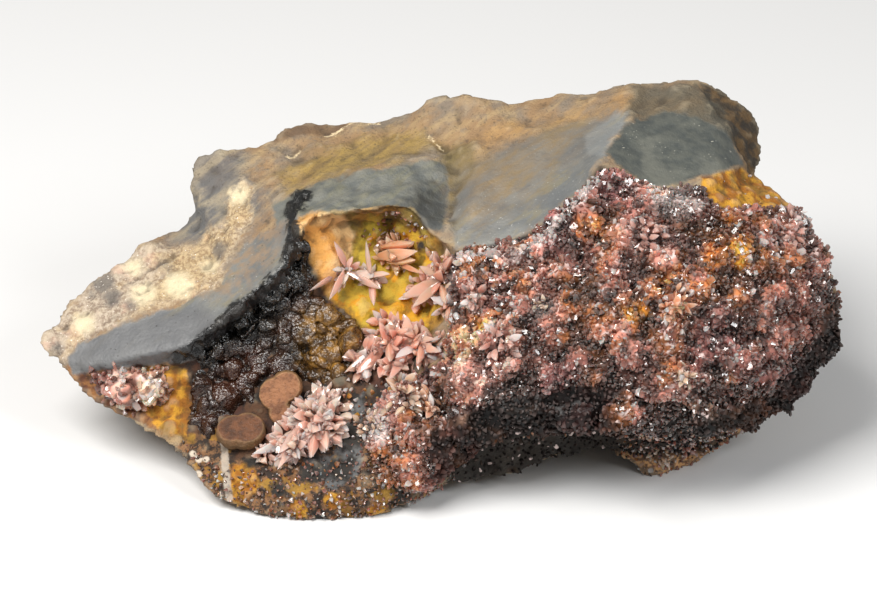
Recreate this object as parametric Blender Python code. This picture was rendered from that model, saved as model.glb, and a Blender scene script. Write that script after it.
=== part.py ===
"""Rhodochrosite specimen: druse and dog-tooth crystals in a hollow of goethite and limonite rock.

The rock is drawn the way it is looked at, along a sight line that slopes SIGHT_SLOPE below the
horizon. A drawn point is (across, up, behind) in millimetres: across and up lie in a plane that is
square to the sight line, and behind is the distance past that plane. place() turns a drawn point
into the model's own frame, in metres, with +Z up and the underside's feet on Z = 0.
"""

import math
import random

import bmesh
import bpy
from mathutils import Vector, geometry, noise
from mathutils.bvhtree import BVHTree

MM = 0.001

# Driving dimensions, in millimetres and degrees.
SIGHT_SLOPE = math.radians(30.0)
EYE_DISTANCE = 500.0
GROUND_DROP = 19.4  # from the drawing's centre down to the feet
CENTRE_ACROSS = 0.3  # brings the middle of the whole specimen to X = 0 and Y = 0
CENTRE_BACK = 11.2
SEAT_GAP = 0.3  # clearance between a crust or crystal and the rock that it grew on
ROUGHNESS = 0.5  # height of the rock's lumps
HEAD_SPACING = 3.6  # between the middles of the druse's round heads
HEAD_HEIGHT = 1.0
RIM_INSET = 1.3  # the back's first row of points lies this far inside the outline
RIM_DEPTH = 1.8  # and this far behind it
BREAK_ANGLE = math.radians(14.0)  # the back's planes meet in a sharp edge from this angle up

# The rock's outline, clockwise from its left tip.
OUTLINE = [
    (-40.0, -5.0, 9), (-39.2, -2.5, 11), (-36.6, 0.6, 12), (-33.4, 2.8, 13), (-30.6, 4.2, 14),
    (-29.0, 6.2, 15), (-26.0, 6.7, 16), (-24.4, 8.8, 17), (-24.6, 11.8, 18), (-25.3, 13.6, 18),
    (-22.6, 14.9, 19), (-18.8, 15.4, 20), (-16.4, 16.2, 20), (-15.6, 17.6, 22), (-9.8, 17.8, 23),
    (-5.0, 17.8, 22), (-1.3, 19.6, 21), (1.8, 20.3, 20), (5.0, 19.9, 20), (8.2, 19.4, 20),
    (11.8, 20.5, 20), (15.6, 21.0, 19), (20.2, 21.3, 19), (23.0, 22.2, 18), (26.2, 22.5, 18),
    (28.4, 21.0, 17), (31.0, 19.8, 18), (32.5, 17.0, 18), (32.4, 14.2, 16), (31.6, 12.6, 12),
    (33.8, 11.0, 10), (36.2, 8.8, 8), (38.4, 5.4, 7), (39.7, 2.0, 6), (40.0, -1.8, 6),
    (39.5, -5.2, 7), (37.7, -7.8, 8), (35.2, -10.6, 9), (31.4, -12.4, 10), (27.8, -14.6, 11),
    (24.6, -17.2, 10), (21.7, -18.3, 8), (19.4, -16.6, 8), (17.2, -14.7, 7), (13.2, -15.1, 6),
    (9.2, -16.6, 5), (5.2, -18.2, 4), (1.8, -18.0, 3), (-1.8, -20.3, 2), (-6.3, -22.2, 1),
    (-10.3, -22.9, 0.5), (-15.3, -22.4, 0.5), (-19.8, -21.4, 1), (-23.3, -19.0, 2),
    (-26.0, -15.8, 4), (-29.2, -12.8, 6), (-33.4, -11.0, 7), (-35.8, -8.8, 8), (-38.2, -6.8, 8),
]

# Lines that the front of the rock breaks along, left to right.
LIP = [
    (-36.4, -6.8, 7.3), (-32.6, -6.2, 5.5), (-28.6, -5.4, 4.0), (-24.2, -4.6, 2.5),
    (-22.4, -2.6, 2.0), (-18.8, 0.2, 2.0), (-15.4, 2.8, 2.5), (-14.1, 6.2, 3.0),
    (-13.2, 8.4, 4.0), (-8.8, 8.9, 4.0), (-4.0, 9.5, 4.0), (-2.2, 9.0, 3.5), (-0.4, 6.2, 2.5),
    (1.4, 5.0, 1.5), (6.2, 5.9, 0.5), (9.4, 6.9, 0.0), (12.8, 10.0, 0.0), (16.2, 12.9, 1.0),
    (18.6, 13.0, 1.0), (21.2, 11.4, 0.0), (25.6, 11.2, 1.0), (30.0, 12.2, 4.0), (31.6, 12.6, 12),
]
BLADE_BACK = [
    (-37.0, -5.6, 8.2), (-32.8, -3.6, 7.0), (-28.8, -1.6, 7.0), (-23.8, 1.0, 7.2),
    (-20.0, 3.8, 8.0), (-17.6, 6.2, 9.0), (-14.8, 9.5, 10.0), (-10.8, 11.2, 10.0),
    (-5.8, 12.8, 11.0), (-0.8, 13.5, 11.5),
]
GULLY = [(-0.8, 13.5, 11.5), (0.2, 10.0, 8.6), (-0.4, 6.2, 2.5)]
GREY_FACE_LEFT = [(2.2, 14.5, 12.5), (1.8, 10.5, 7.0), (1.4, 5.0, 1.5)]
GREY_FACE_BACK = [(2.2, 14.5, 12.5), (8.2, 15.0, 12.0), (13.0, 16.2, 11.5), (16.4, 17.2, 11.0),
                  (20.2, 17.8, 10.0), (24.6, 19.2, 11.5), (28.0, 18.5, 12.0)]
GREY_FACE_RIDGE = [(20.2, 17.8, 10.0), (19.6, 15.0, 6.0), (18.6, 13.0, 1.0)]
CHEEK = [(28.0, 18.5, 12.0), (29.6, 16.0, 9.0), (30.8, 13.6, 8.5)]
HOLLOW_ROOF = [(-14.0, 5.6, 6.5), (-12.9, 7.6, 8.5), (-8.8, 8.3, 9.5), (-4.2, 8.8, 9.0),
               (-2.6, 8.2, 8.5), (-1.2, 5.6, 6.0)]
GROOVE = [(-35.4, -7.8, 7.6), (-32.0, -7.4, 7.2), (-28.4, -6.6, 6.8), (-24.8, -6.0, 6.2),
          (-21.6, -3.8, 6.5), (-18.2, -1.0, 6.8), (-15.0, 1.6, 7.0), (-14.0, 5.6, 6.5)]
BROW = [(1.4, -13.2, -1.2), (4.4, -12.4, -2.0), (10.4, -12.4, -3.4), (16.4, -10.8, -5.0),
        (20.4, -12.4, -5.0), (26.4, -12.8, -3.4), (30.6, -11.4, 1.0)]
UNDERCUT = [(1.8, -15.6, 3.0), (5.6, -15.6, 3.6), (10.2, -14.6, 4.6), (14.8, -13.4, 5.0),
            (18.6, -13.8, 6.0), (22.4, -14.8, 7.2), (26.2, -14.2, 7.6)]

# Single points of the front between those lines.
WING = [(-36.5, -2.5, 9.5), (-32.5, 0.0, 10.0), (-28.0, 1.5, 10.5), (-27.0, 4.5, 12.5),
        (-23.5, 4.0, 10.5), (-21.0, 6.0, 11.0)]
TOP = [(-22.0, 8.5, 13.0), (-20.5, 12.5, 15.5), (-14.5, 13.5, 15.5), (-8.0, 15.0, 16.5),
       (-2.5, 16.5, 16.5), (0.8, 17.0, 17.6), (4.5, 17.0, 16.0), (10.5, 18.0, 15.5),
       (15.8, 19.4, 15.0), (19.5, 19.8, 14.5), (24.5, 20.8, 15.0), (29.5, 18.8, 14.5)]
HOLLOW = [(-12.0, 4.8, 6.6), (-10.4, 2.6, 6.6), (-8.6, 5.5, 9.4), (-5.5, 5.0, 9.5),
          (-2.8, 3.2, 8.0), (-10.8, 0.0, 7.4), (-7.0, 1.5, 9.0), (-4.0, 0.0, 8.5),
          (-0.6, 0.5, 6.5), (-8.8, -1.8, 7.0), (-5.2, -2.6, 6.5), (-1.8, -2.2, 6.0),
          (0.6, 1.8, 3.5)]
SLOPE = [(-19.5, -6.0, 5.8), (-16.8, -4.0, 5.5), (-13.6, -1.6, 6.2), (-11.8, -4.4, 5.0),
         (-8.8, -5.2, 4.6), (-15.6, -7.2, 4.8), (-11.0, -8.2, 3.6), (-19.8, -10.2, 5.4),
         (-23.0, -9.0, 6.2), (-23.6, -12.4, 5.0), (-27.2, -10.5, 6.2), (-31.0, -9.4, 6.8),
         (-21.2, -14.6, 3.6), (-15.8, -10.8, 3.4), (-12.8, -12.0, 2.2)]
BASE = [(-20.6, -17.2, 1.6), (-17.6, -19.8, 0.2), (-12.0, -19.6, -1.0), (-10.6, -16.6, -0.6),
        (-16.2, -15.4, 1.2), (-5.8, -18.2, -0.8), (-1.8, -17.2, -0.4), (-7.6, -13.6, -0.4),
        (-3.6, -14.2, -1.0), (-12.6, -14.4, 0.6), (-5.8, -9.8, 0.4), (-3.6, -6.6, 1.0),
        (22.8, -16.8, 6.2), (25.0, -15.8, 8.0)]
BULGE = [(1.6, 0.4, 1.5), (4.4, 3.2, 0.0), (8.4, 4.2, -1.0), (12.4, 6.4, -1.4),
         (16.4, 9.4, -1.0), (21.4, 8.2, -1.4), (26.4, 8.6, -1.0), (31.2, 9.6, 2.2),
         (34.2, 7.6, 3.4), (4.4, -2.8, -2.0), (9.4, -0.8, -3.4), (14.4, 1.2, -4.2),
         (20.4, 2.2, -4.8), (26.4, 3.2, -4.2), (31.4, 4.2, -2.0), (36.4, 4.0, 2.2),
         (38.4, 0.0, 3.4), (3.4, -7.8, -2.6), (9.4, -6.8, -4.8), (15.4, -4.8, -5.8),
         (21.4, -3.8, -6.2), (27.4, -2.8, -5.8), (33.4, -2.8, -2.4), (37.6, -4.4, 3.2),
         (4.4, -10.8, -2.4), (10.4, -9.8, -4.4), (22.4, -9.4, -6.0), (28.4, -8.8, -4.8),
         (33.4, -8.2, 0.0)]

# Points of the back and underside. The two lowest of REAR_FOOT are feet.
UNDERSIDE = [(-31.0, -5.0, 15.0), (-28.0, -6.5, 20.0), (-18.0, -12.5, 15.5), (-6.0, -14.0, 13.0),
             (6.0, -12.0, 15.0), (16.0, -10.5, 17.5), (26.0, -9.5, 19.0), (34.0, -5.0, 18.0)]
REAR_FOOT = [(-24.0, -1.0, 28.0), (-13.0, -3.6, 33.8), (-2.0, -2.0, 34.0), (10.0, -2.0, 35.0),
             (19.0, -3.0, 35.4), (28.0, -1.0, 31.0), (35.0, 1.0, 22.0)]
BACK = [(-36.0, -3.6, 13.0), (-33.0, -1.0, 16.5), (-25.0, 3.0, 28.0), (-14.0, 4.5, 33.0),
        (-2.0, 5.0, 33.0), (19.0, 7.0, 33.5), (27.0, 4.0, 30.0), (29.0, 9.0, 26.0),
        (35.0, 5.0, 17.0), (-20.0, 13.4, 22.0), (-10.0, 15.0, 24.0), (2.0, 16.6, 24.0),
        (14.0, 17.4, 25.0), (22.0, 18.5, 25.0), (29.0, 15.0, 24.0), (20.0, 13.0, 30.5)]

# Lines that the back broke along: a sloping ledge under the top and a step beside it.
LEDGE_FOOT = [(-26.0, 6.2, 25.5), (-15.0, 9.6, 31.2), (-5.0, 10.4, 32.4), (4.0, 11.4, 33.0),
              (8.0, 12.0, 32.6)]
LEDGE_HEAD = [(-22.5, 10.0, 23.6), (-14.0, 11.8, 26.2), (-5.0, 12.6, 27.0), (4.0, 13.6, 27.4),
              (9.0, 14.6, 28.4)]
STEP_FOOT = [(8.0, 12.0, 32.6), (8.6, 7.0, 34.6), (7.4, 1.0, 35.6)]
STEP_HEAD = [(9.0, 14.6, 28.4), (11.0, 7.4, 31.0), (11.4, 1.0, 33.2)]

# Outlines of the two smooth breaks and of what grew on the rock, as (across, up).
BLADE_FACE = [p[:2] for p in LIP[:9] + BLADE_BACK[::-1]]
GREY_FACE = [p[:2] for p in LIP[13:21] + GREY_FACE_BACK[5::-1]]
DRUSE_OUTLINE = [
    (2.6, 4.7), (6.2, 5.4), (9.6, 6.4), (13.0, 9.4), (16.2, 12.2), (18.6, 12.2), (21.2, 10.8),
    (25.6, 10.6), (26.8, 9.2), (30.8, 8.6), (36.0, 8.8), (38.2, 5.0), (39.2, 1.5), (39.4, -1.8),
    (38.9, -5.0), (37.2, -7.6), (34.8, -10.2), (31.2, -11.9), (26.4, -13.2), (22.2, -13.6),
    (18.7, -13.2), (16.0, -11.4), (10.8, -13.2), (5.2, -13.6), (2.7, -16.2), (-1.6, -19.0),
    (-5.8, -18.0), (-7.2, -14.0), (-6.0, -10.2), (-3.6, -8.6), (1.0, -6.0), (2.2, -1.4), (2.0, 1.5),
]
LEFT_PATCH_OUTLINE = [(-34.4, -7.2), (-31.0, -6.6), (-27.4, -6.9), (-26.6, -9.6), (-30.0, -11.4),
                      (-33.6, -9.8)]
GOETHITE_OUTLINE = [
    (-23.2, -5.4), (-21.4, -3.6), (-18.1, -0.9), (-14.8, 1.8), (-13.6, 3.2), (-12.4, 0.6),
    (-9.6, -1.6), (-6.8, -3.6), (-8.6, -5.4), (-9.4, -7.4), (-12.0, -8.4), (-13.8, -7.4),
    (-17.0, -7.6), (-17.8, -9.6), (-20.8, -11.4), (-22.6, -14.0), (-24.8, -12.2), (-24.4, -9.0),
]

# Dog-tooth crystals: (tail, tip, width), each end as (across, up, height above the rock's face).
SPRAYS = {
    "spray_hollow_left": [
        ((-9.1, 3.1, 0.4), (-10.4, 5.9, 1.8), 1.2), ((-9.4, 3.0, 0.8), (-10.9, 0.0, 2.6), 1.3),
        ((-9.6, 3.0, 0.2), (-12.9, 0.9, 1.3), 1.3), ((-9.1, 3.0, 0.4), (-8.5, 4.4, 2.4), 1.1),
        ((-9.2, 2.8, 0.6), (-7.0, 1.6, 2.4), 1.2), ((-8.6, 2.7, 0.8), (-5.7, 1.1, 3.2), 1.3),
        ((-6.6, 2.2, 0.6), (-6.4, -0.6, 3.2), 1.3), ((-6.7, 2.0, 0.8), (-7.2, 6.0, 3.0), 1.0),
        ((-6.8, 2.4, 0.2), (-4.8, 2.6, 3.0), 1.2), ((-8.8, 2.6, 0.0), (-6.0, 2.4, 1.0), 1.6),
    ],
    "spray_hollow_top": [
        ((-6.1, 4.4, 1.0), (-2.0, 4.9, 2.4), 2.0), ((-5.9, 5.3, 1.2), (-2.4, 5.7, 2.2), 1.6),
        ((-5.2, 3.8, 1.0), (-2.2, 4.0, 2.2), 1.6), ((-4.2, 3.8, 0.6), (-1.4, 2.6, 2.4), 1.1),
        ((-4.2, 4.6, 0.0), (-4.6, 4.2, 3.4), 2.2), ((-4.4, 4.6, 0.2), (-5.2, 6.4, 2.2), 1.5),
    ],
    "spray_hollow_right": [
        ((0.4, 2.0, 0.6), (-3.6, 0.2, 2.6), 2.0), ((0.4, 1.8, 0.6), (-2.6, -0.8, 2.2), 1.7),
        ((0.2, 2.2, 0.6), (-1.9, 3.4, 2.2), 1.3), ((0.2, 2.2, 0.4), (-0.4, 4.9, 2.4), 1.6),
        ((0.2, 2.2, 0.4), (1.4, 4.4, 1.8), 1.5), ((0.0, 2.0, 0.0), (0.3, 2.9, 3.6), 2.0),
        ((0.2, 1.8, 0.4), (-0.6, 0.6, 3.4), 1.8), ((0.2, 1.8, 0.2), (0.8, -0.4, 2.6), 1.6),
    ],
    "spray_floor": [
        ((-5.0, -3.8, 0.8), (-9.4, -7.3, 2.2), 1.7), ((-5.4, -4.8, 0.6), (-8.2, -7.4, 1.6), 1.8),
        ((-4.8, -4.8, 0.6), (-5.9, -2.1, 2.8), 1.6), ((-4.8, -4.2, 0.6), (-4.8, -6.2, 3.4), 1.6),
        ((-3.0, -4.8, 0.6), (-3.2, -1.5, 2.8), 1.8), ((-4.4, -3.8, 0.6), (-4.0, -1.1, 2.4), 1.1),
        ((-2.2, -4.8, 1.4), (-4.3, -5.8, 3.6), 1.4), ((-1.6, -4.4, 1.2), (-2.0, -6.4, 3.4), 1.5),
        ((-2.2, -4.4, 1.0), (0.3, -5.2, 2.4), 1.4), ((-2.8, -3.9, 1.0), (-0.2, -3.9, 2.4), 1.3),
        ((-2.8, -4.6, 0.4), (-4.9, -8.0, 2.2), 1.7), ((-4.4, -4.4, 0.0), (-3.6, -3.8, 4.0), 2.2),
        ((-2.6, -4.6, 0.0), (-2.0, -4.4, 3.8), 2.0), ((-5.0, -4.4, 0.0), (-2.0, -4.6, 0.8), 2.0),
    ],
    "spray_lower": [
        ((-12.2, -12.0, 0.8), (-16.0, -15.4, 3.2), 2.0), ((-13.0, -12.6, 0.4), (-16.1, -17.0, 2.4), 1.9),
        ((-13.2, -13.0, 0.0), (-18.6, -15.4, 1.4), 1.9), ((-12.1, -12.2, 0.8), (-12.7, -15.8, 3.6), 2.0),
        ((-11.6, -12.0, 0.8), (-11.1, -15.0, 3.2), 2.0), ((-12.0, -12.0, 0.4), (-9.3, -11.8, 2.4), 1.9),
        ((-11.8, -12.0, 0.4), (-11.4, -8.9, 2.0), 2.0), ((-11.8, -12.2, 0.4), (-9.7, -9.6, 2.0), 1.9),
        ((-12.0, -12.0, 0.6), (-15.3, -12.5, 2.4), 1.8), ((-11.9, -12.2, 0.0), (-12.3, -13.2, 4.6), 2.6),
        ((-11.6, -12.0, 0.0), (-10.6, -11.0, 4.0), 2.4), ((-12.0, -12.0, 0.2), (-13.8, -10.4, 2.6), 2.0),
    ],
}

# Broken beads: the balls each is fused from, as (across, up, height above the rock) and radius,
# the way its flat broken side looks (right, up, towards the eye) and that side's distance from
# the first ball's centre.
BEADS = {
    "bead_upper": ([((-16.2, -9.4, 1.4), 1.75), ((-15.1, -8.6, 1.4), 1.65),
                    ((-15.8, -11.3, 1.4), 1.3)], (-0.15, 0.0, 1.0), 0.6),
    "bead_lower": ([((-19.1, -13.2, 0.6), 2.0), ((-20.4, -13.4, 0.6), 1.8)], (-0.1, 0.7, 1.0), 0.8),
}

MATERIALS = {
    "rock": ((0.30, 0.26, 0.20), 0.75, 0.0),
    "druse": ((0.42, 0.22, 0.20), 0.25, 0.0),
    "rhodochrosite": ((0.78, 0.42, 0.38), 0.22, 0.0),
    "goethite": ((0.07, 0.05, 0.04), 0.35, 0.3),
    "bead": ((0.38, 0.22, 0.14), 0.6, 0.0),
}


def place(across, up, behind):
    """The model's point for a drawn point. Sight lines spread from an eye at EYE_DISTANCE."""
    spread = 1 + behind / EYE_DISTANCE
    back = up * spread * math.sin(SIGHT_SLOPE) + behind * math.cos(SIGHT_SLOPE)
    rise = up * spread * math.cos(SIGHT_SLOPE) - behind * math.sin(SIGHT_SLOPE)
    return Vector((across * spread - CENTRE_ACROSS, back - CENTRE_BACK, rise + GROUND_DROP)) * MM


def drawn(point):
    """The drawn (across, up, behind) of a point of the model."""
    across, back, rise = point / MM + Vector((CENTRE_ACROSS, CENTRE_BACK, -GROUND_DROP))
    behind = back * math.cos(SIGHT_SLOPE) - rise * math.sin(SIGHT_SLOPE)
    up = back * math.sin(SIGHT_SLOPE) + rise * math.cos(SIGHT_SLOPE)
    spread = 1 + behind / EYE_DISTANCE
    return Vector((across / spread, up / spread, behind))


def inside(across, up, outline):
    """Whether a drawn place lies inside a closed outline."""
    found = False
    for (x0, y0), (x1, y1) in zip(outline, outline[1:] + outline[:1]):
        if (y0 > up) != (y1 > up) and across < x0 + (up - y0) * (x1 - x0) / (y1 - y0):
            found = not found
    return found


def material(slot):
    colour, roughness, metallic = MATERIALS[slot]
    made = bpy.data.materials.get(slot) or bpy.data.materials.new(slot)
    made.use_nodes = True
    shader = made.node_tree.nodes["Principled BSDF"]
    shader.inputs["Base Color"].default_value = (*colour, 1)
    shader.inputs["Roughness"].default_value = roughness
    shader.inputs["Metallic"].default_value = metallic
    return made


def add_object(name, mesh, slot):
    made = bpy.data.objects.new(name, mesh)
    bpy.context.scene.collection.objects.link(made)
    mesh.materials.clear()
    mesh.materials.append(material(slot))
    return made


def hide(helper):
    helper.hide_render = True
    helper.display_type = "WIRE"


def settle(obj):
    """Turns the object's modifiers into its mesh."""
    bpy.context.view_layer.update()
    graph = bpy.context.evaluated_depsgraph_get()
    mesh = bpy.data.meshes.new_from_object(obj.evaluated_get(graph))
    obj.modifiers.clear()
    obj.data = mesh
    return obj


def boolean(obj, other, operation):
    cut = obj.modifiers.new(operation.lower(), "BOOLEAN")
    cut.operation = operation
    cut.object = other
    cut.solver = "EXACT"
    cut.use_self = True
    return settle(obj)


def keep_largest(obj):
    """Drops crumbs that a cut has left loose."""
    shape = bmesh.new()
    shape.from_mesh(obj.data)
    left = set(shape.verts)
    islands = []
    while left:
        island, front = set(), [left.pop()]
        while front:
            vertex = front.pop()
            island.add(vertex)
            near = [edge.other_vert(vertex) for edge in vertex.link_edges]
            front += [v for v in near if v in left]
            left -= set(near)
        islands.append(island)
    islands.sort(key=len)
    crumbs = [vertex for island in islands[:-1] for vertex in island]
    bmesh.ops.delete(shape, geom=crumbs, context="VERTS")
    shape.to_mesh(obj.data)
    shape.free()
    return obj


def triangulate_drawing(lines, spots):
    """Triangles over the outline that keep every line as an edge: (drawn points, faces)."""
    points, index = [], {}

    def number(point):
        if point[:2] not in index:
            index[point[:2]] = len(points)
            points.append(point)
        return index[point[:2]]

    ring = [number(p) for p in OUTLINE]
    edges = [
        (number(a), number(b)) for line in lines for a, b in zip(line, line[1:])
    ]
    for spot in spots:
        number(spot)
    flat = [Vector(p[:2]) for p in points]
    flat_out, _, faces, origins, _, _ = geometry.delaunay_2d_cdt(flat, edges, [ring], 1, 1e-6)
    if any(len(o) != 1 for o in origins):
        crossing = [tuple(round(c, 1) for c in v) for v, o in zip(flat_out, origins) if not o]
        raise ValueError(f"drawn lines cross at {crossing}")
    source = [points[o[0]] for o in origins]
    return source, faces


def back_rim():
    """Points just inside every second stretch of the outline, which round the back over."""
    rim = []
    for (x0, y0, d0), (x1, y1, d1) in list(zip(OUTLINE, OUTLINE[1:] + OUTLINE[:1]))[::2]:
        along = Vector((x1 - x0, y1 - y0)).normalized()
        across, up = (x0 + x1) / 2 + along.y * RIM_INSET, (y0 + y1) / 2 - along.x * RIM_INSET
        rim.append((across, up, (d0 + d1) / 2 + RIM_DEPTH))
    return rim


def draw_rock():
    """The rock as coarse flat faces: a drawn front and a drawn back that share the outline."""
    front_lines = [LIP, BLADE_BACK, GULLY, GREY_FACE_LEFT, GREY_FACE_BACK, GREY_FACE_RIDGE, CHEEK,
                   HOLLOW_ROOF, GROOVE, BROW, UNDERCUT]
    front_spots = WING + TOP + HOLLOW + SLOPE + BASE + BULGE
    shape = bmesh.new()
    ring, source = {}, {}
    back_lines = [LEDGE_FOOT, LEDGE_HEAD, STEP_FOOT, STEP_HEAD]
    back_spots = back_rim() + UNDERSIDE + REAR_FOOT + BACK
    for lines, spots in ((front_lines, front_spots), (back_lines, back_spots)):
        points, faces = triangulate_drawing(lines, spots)
        vertices = []
        for point in points:
            vertex = ring.get(point) or shape.verts.new(place(*point))
            if point in OUTLINE:
                ring[point] = vertex
            source[vertex] = point
            vertices.append(vertex)
        for face in faces:
            corners = [vertices[i] for i in face]
            shape.faces.new(corners if spots is front_spots else corners[::-1])
    crisp = {frozenset(pair) for line in [LIP, BROW] + back_lines for pair in zip(line, line[1:])}
    rim = {frozenset(pair) for pair in zip(OUTLINE, OUTLINE[1:] + OUTLINE[:1])}
    crease = shape.edges.layers.float.new("crease_edge")
    bmesh.ops.recalc_face_normals(shape, faces=shape.faces)
    back_points = set(UNDERSIDE + REAR_FOOT + BACK)
    for edge in shape.edges:
        ends = frozenset(source[v] for v in edge.verts)
        broken = ends & back_points and edge.calc_face_angle() > BREAK_ANGLE
        edge[crease] = 0.9 if ends in crisp else 0.6 if ends in rim else 0.8 if broken else 0.0
    mesh = bpy.data.meshes.new("matrix_rock")
    shape.to_mesh(mesh)
    shape.free()
    return mesh


def lumpiness(vertex):
    """How far the rock's skin stands out at a vertex, in millimetres."""
    spot = drawn(vertex.co)
    across, up, _ = spot
    broad = noise.noise(spot / 7.0)
    fine = noise.noise(spot / 2.6 + Vector((9.0, 2.0, 5.0)))
    in_front = vertex.normal.dot(Vector((0, -math.cos(SIGHT_SLOPE), math.sin(SIGHT_SLOPE)))) > 0
    if in_front and (inside(across, up, BLADE_FACE) or inside(across, up, GREY_FACE)):
        return 0.25 * ROUGHNESS * broad
    return ROUGHNESS * (broad + 0.9 * fine)


def build_rock():
    rock = add_object("matrix_rock", draw_rock(), "rock")
    rounding = rock.modifiers.new("rounding", "SUBSURF")
    rounding.levels = rounding.render_levels = 1
    settle(rock)
    shape = bmesh.new()
    shape.from_mesh(rock.data)
    shape.normal_update()
    moved = [(v, v.co + v.normal * lumpiness(v) * MM) for v in shape.verts]
    for vertex, spot in moved:
        vertex.co = spot
    bmesh.ops.triangulate(shape, faces=shape.faces)
    cut = bmesh.ops.bisect_plane(
        shape, geom=shape.verts[:] + shape.edges[:] + shape.faces[:], dist=1e-7,
        plane_co=(0, 0, 0), plane_no=(0, 0, 1), clear_inner=True,
    )
    rims = [e for e in cut["geom_cut"] if isinstance(e, bmesh.types.BMEdge)]
    bmesh.ops.holes_fill(shape, edges=rims, sides=0)
    bmesh.ops.recalc_face_normals(shape, faces=shape.faces)
    shape.to_mesh(rock.data)
    shape.free()
    return rock


def patch_of(rock, outline):
    """The rock's faces inside an outline, as a bmesh with no face hanging on by a corner only."""
    patch = bmesh.new()
    patch.from_mesh(rock.data)
    patch.normal_update()
    outside = []
    for face in patch.faces:
        across, up, _ = drawn(face.calc_center_median())
        towards = face.normal.dot(Vector((0, -math.cos(SIGHT_SLOPE), math.sin(SIGHT_SLOPE))))
        if not inside(across, up, outline) or towards < 0.05:
            outside.append(face)
    normal = patch.verts.layers.float_vector.new("rock_normal")
    for vertex in patch.verts:
        vertex[normal] = vertex.normal
    bmesh.ops.delete(patch, geom=outside, context="FACES")
    while True:
        pinched = [v for v in patch.verts if sum(e.is_boundary for e in v.link_edges) > 2]
        if not pinched:
            break
        spare = {face for vertex in pinched for face in vertex.link_faces}
        bmesh.ops.delete(patch, geom=list(spare), context="FACES")
    return patch


def crust_from(patch, thickness, crystal_height, seed):
    """A closed crust over a patch: seat, top and rim. With a crystal height, each face of the
    top is raised to a three-sided crystal tip."""
    normal = patch.verts.layers.float_vector["rock_normal"]
    draw = random.Random(seed)
    crust = bmesh.new()
    seat, top = {}, {}
    for vertex in patch.verts:
        way = vertex[normal].normalized()
        seat[vertex] = crust.verts.new(vertex.co + way * SEAT_GAP * MM)
        top[vertex] = crust.verts.new(vertex.co + way * (SEAT_GAP + thickness(vertex)) * MM)
    for face in patch.faces:
        crust.faces.new([seat[v] for v in reversed(face.verts)])
        corners = [top[v] for v in face.verts]
        if not crystal_height:
            crust.faces.new(corners)
            continue
        centre = sum((v.co for v in corners), Vector()) / len(corners)
        lean = Vector(draw.uniform(-0.45, 0.45) for _ in range(3))
        height = crystal_height * draw.uniform(0.35, 1.25) * MM
        tip = crust.verts.new(centre + (face.normal + lean).normalized() * height)
        for a, b in zip(corners, corners[1:] + corners[:1]):
            crust.faces.new((a, b, tip))
    for edge in patch.edges:
        if edge.is_boundary:
            loop = edge.link_loops[0]
            a, b = loop.vert, loop.link_loop_next.vert
            crust.faces.new((top[b], top[a], seat[a], seat[b]))
    bmesh.ops.triangulate(crust, faces=[f for f in crust.faces if len(f.verts) > 3])
    bmesh.ops.recalc_face_normals(crust, faces=crust.faces)
    mesh = bpy.data.meshes.new("crust")
    crust.to_mesh(mesh)
    crust.free()
    return mesh


def build_druse(rock, name, outline, crystal_height, seed):
    """Small crystals side by side on the round heads that they grew in."""
    patch = patch_of(rock, outline)
    draw = random.Random(seed)
    spots = [v.co.copy() for v in patch.verts if not v.is_boundary]
    draw.shuffle(spots)
    heads = []
    for spot in spots:
        if all((spot - other).length > HEAD_SPACING * MM for other in heads):
            heads.append(spot)

    def thickness(vertex):
        if vertex.is_boundary:
            return 0.25
        nearest = min((vertex.co - head).length for head in heads) / MM
        return 0.4 + HEAD_HEIGHT * max(0.0, 1 - (nearest / (0.7 * HEAD_SPACING)) ** 2)

    mesh = crust_from(patch, thickness, crystal_height, seed)
    patch.free()
    return keep_largest(add_object(name, mesh, "druse"))


def build_goethite(rock):
    """Botryoidal goethite: round lumps that meet in creases."""
    patch = patch_of(rock, GOETHITE_OUTLINE)
    bmesh.ops.subdivide_edges(patch, edges=patch.edges, cuts=1)
    bmesh.ops.triangulate(patch, faces=patch.faces)
    draw = random.Random(4)
    spots = [v.co.copy() for v in patch.verts if not v.is_boundary]
    draw.shuffle(spots)
    lumps = []
    for spot in spots:
        radius = draw.uniform(0.9, 1.8) * MM
        if all((spot - centre).length > 0.8 * (radius + r) for centre, r in lumps):
            lumps.append((spot, radius))

    def thickness(vertex):
        if vertex.is_boundary:
            return 0.25
        rises = [r * r - (vertex.co - centre).length_squared for centre, r in lumps]
        return 0.3 + 0.8 * math.sqrt(max(0.0, *rises)) / MM

    mesh = crust_from(patch, thickness, 0.0, 0)
    patch.free()
    return keep_largest(add_object("goethite_crust", mesh, "goethite"))


def dog_tooth(shape, tail, tip, width):
    """A steep crystal from tail to tip: two rings of three broad and three narrow corners
    between two points, which makes it swell in the middle like a grain of rice."""
    axis = tip - tail
    side = axis.orthogonal().normalized()
    other = axis.cross(side).normalized()
    ends = [shape.verts.new(tail), shape.verts.new(tip)]
    rings = []
    for along, share in ((0.32, 0.46), (0.68, 0.40)):
        ring = []
        for step in range(6):
            angle = math.radians(60 * step)
            out = width * share * (1.08 if step % 2 else 0.88)
            way = side * math.cos(angle) + other * math.sin(angle)
            ring.append(shape.verts.new(tail + axis * along + way * out))
        rings.append(ring)
    for step in range(6):
        after = (step + 1) % 6
        shape.faces.new((ends[0], rings[0][after], rings[0][step]))
        shape.faces.new((rings[0][step], rings[0][after], rings[1][after], rings[1][step]))
        shape.faces.new((rings[1][step], rings[1][after], ends[1]))


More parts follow.
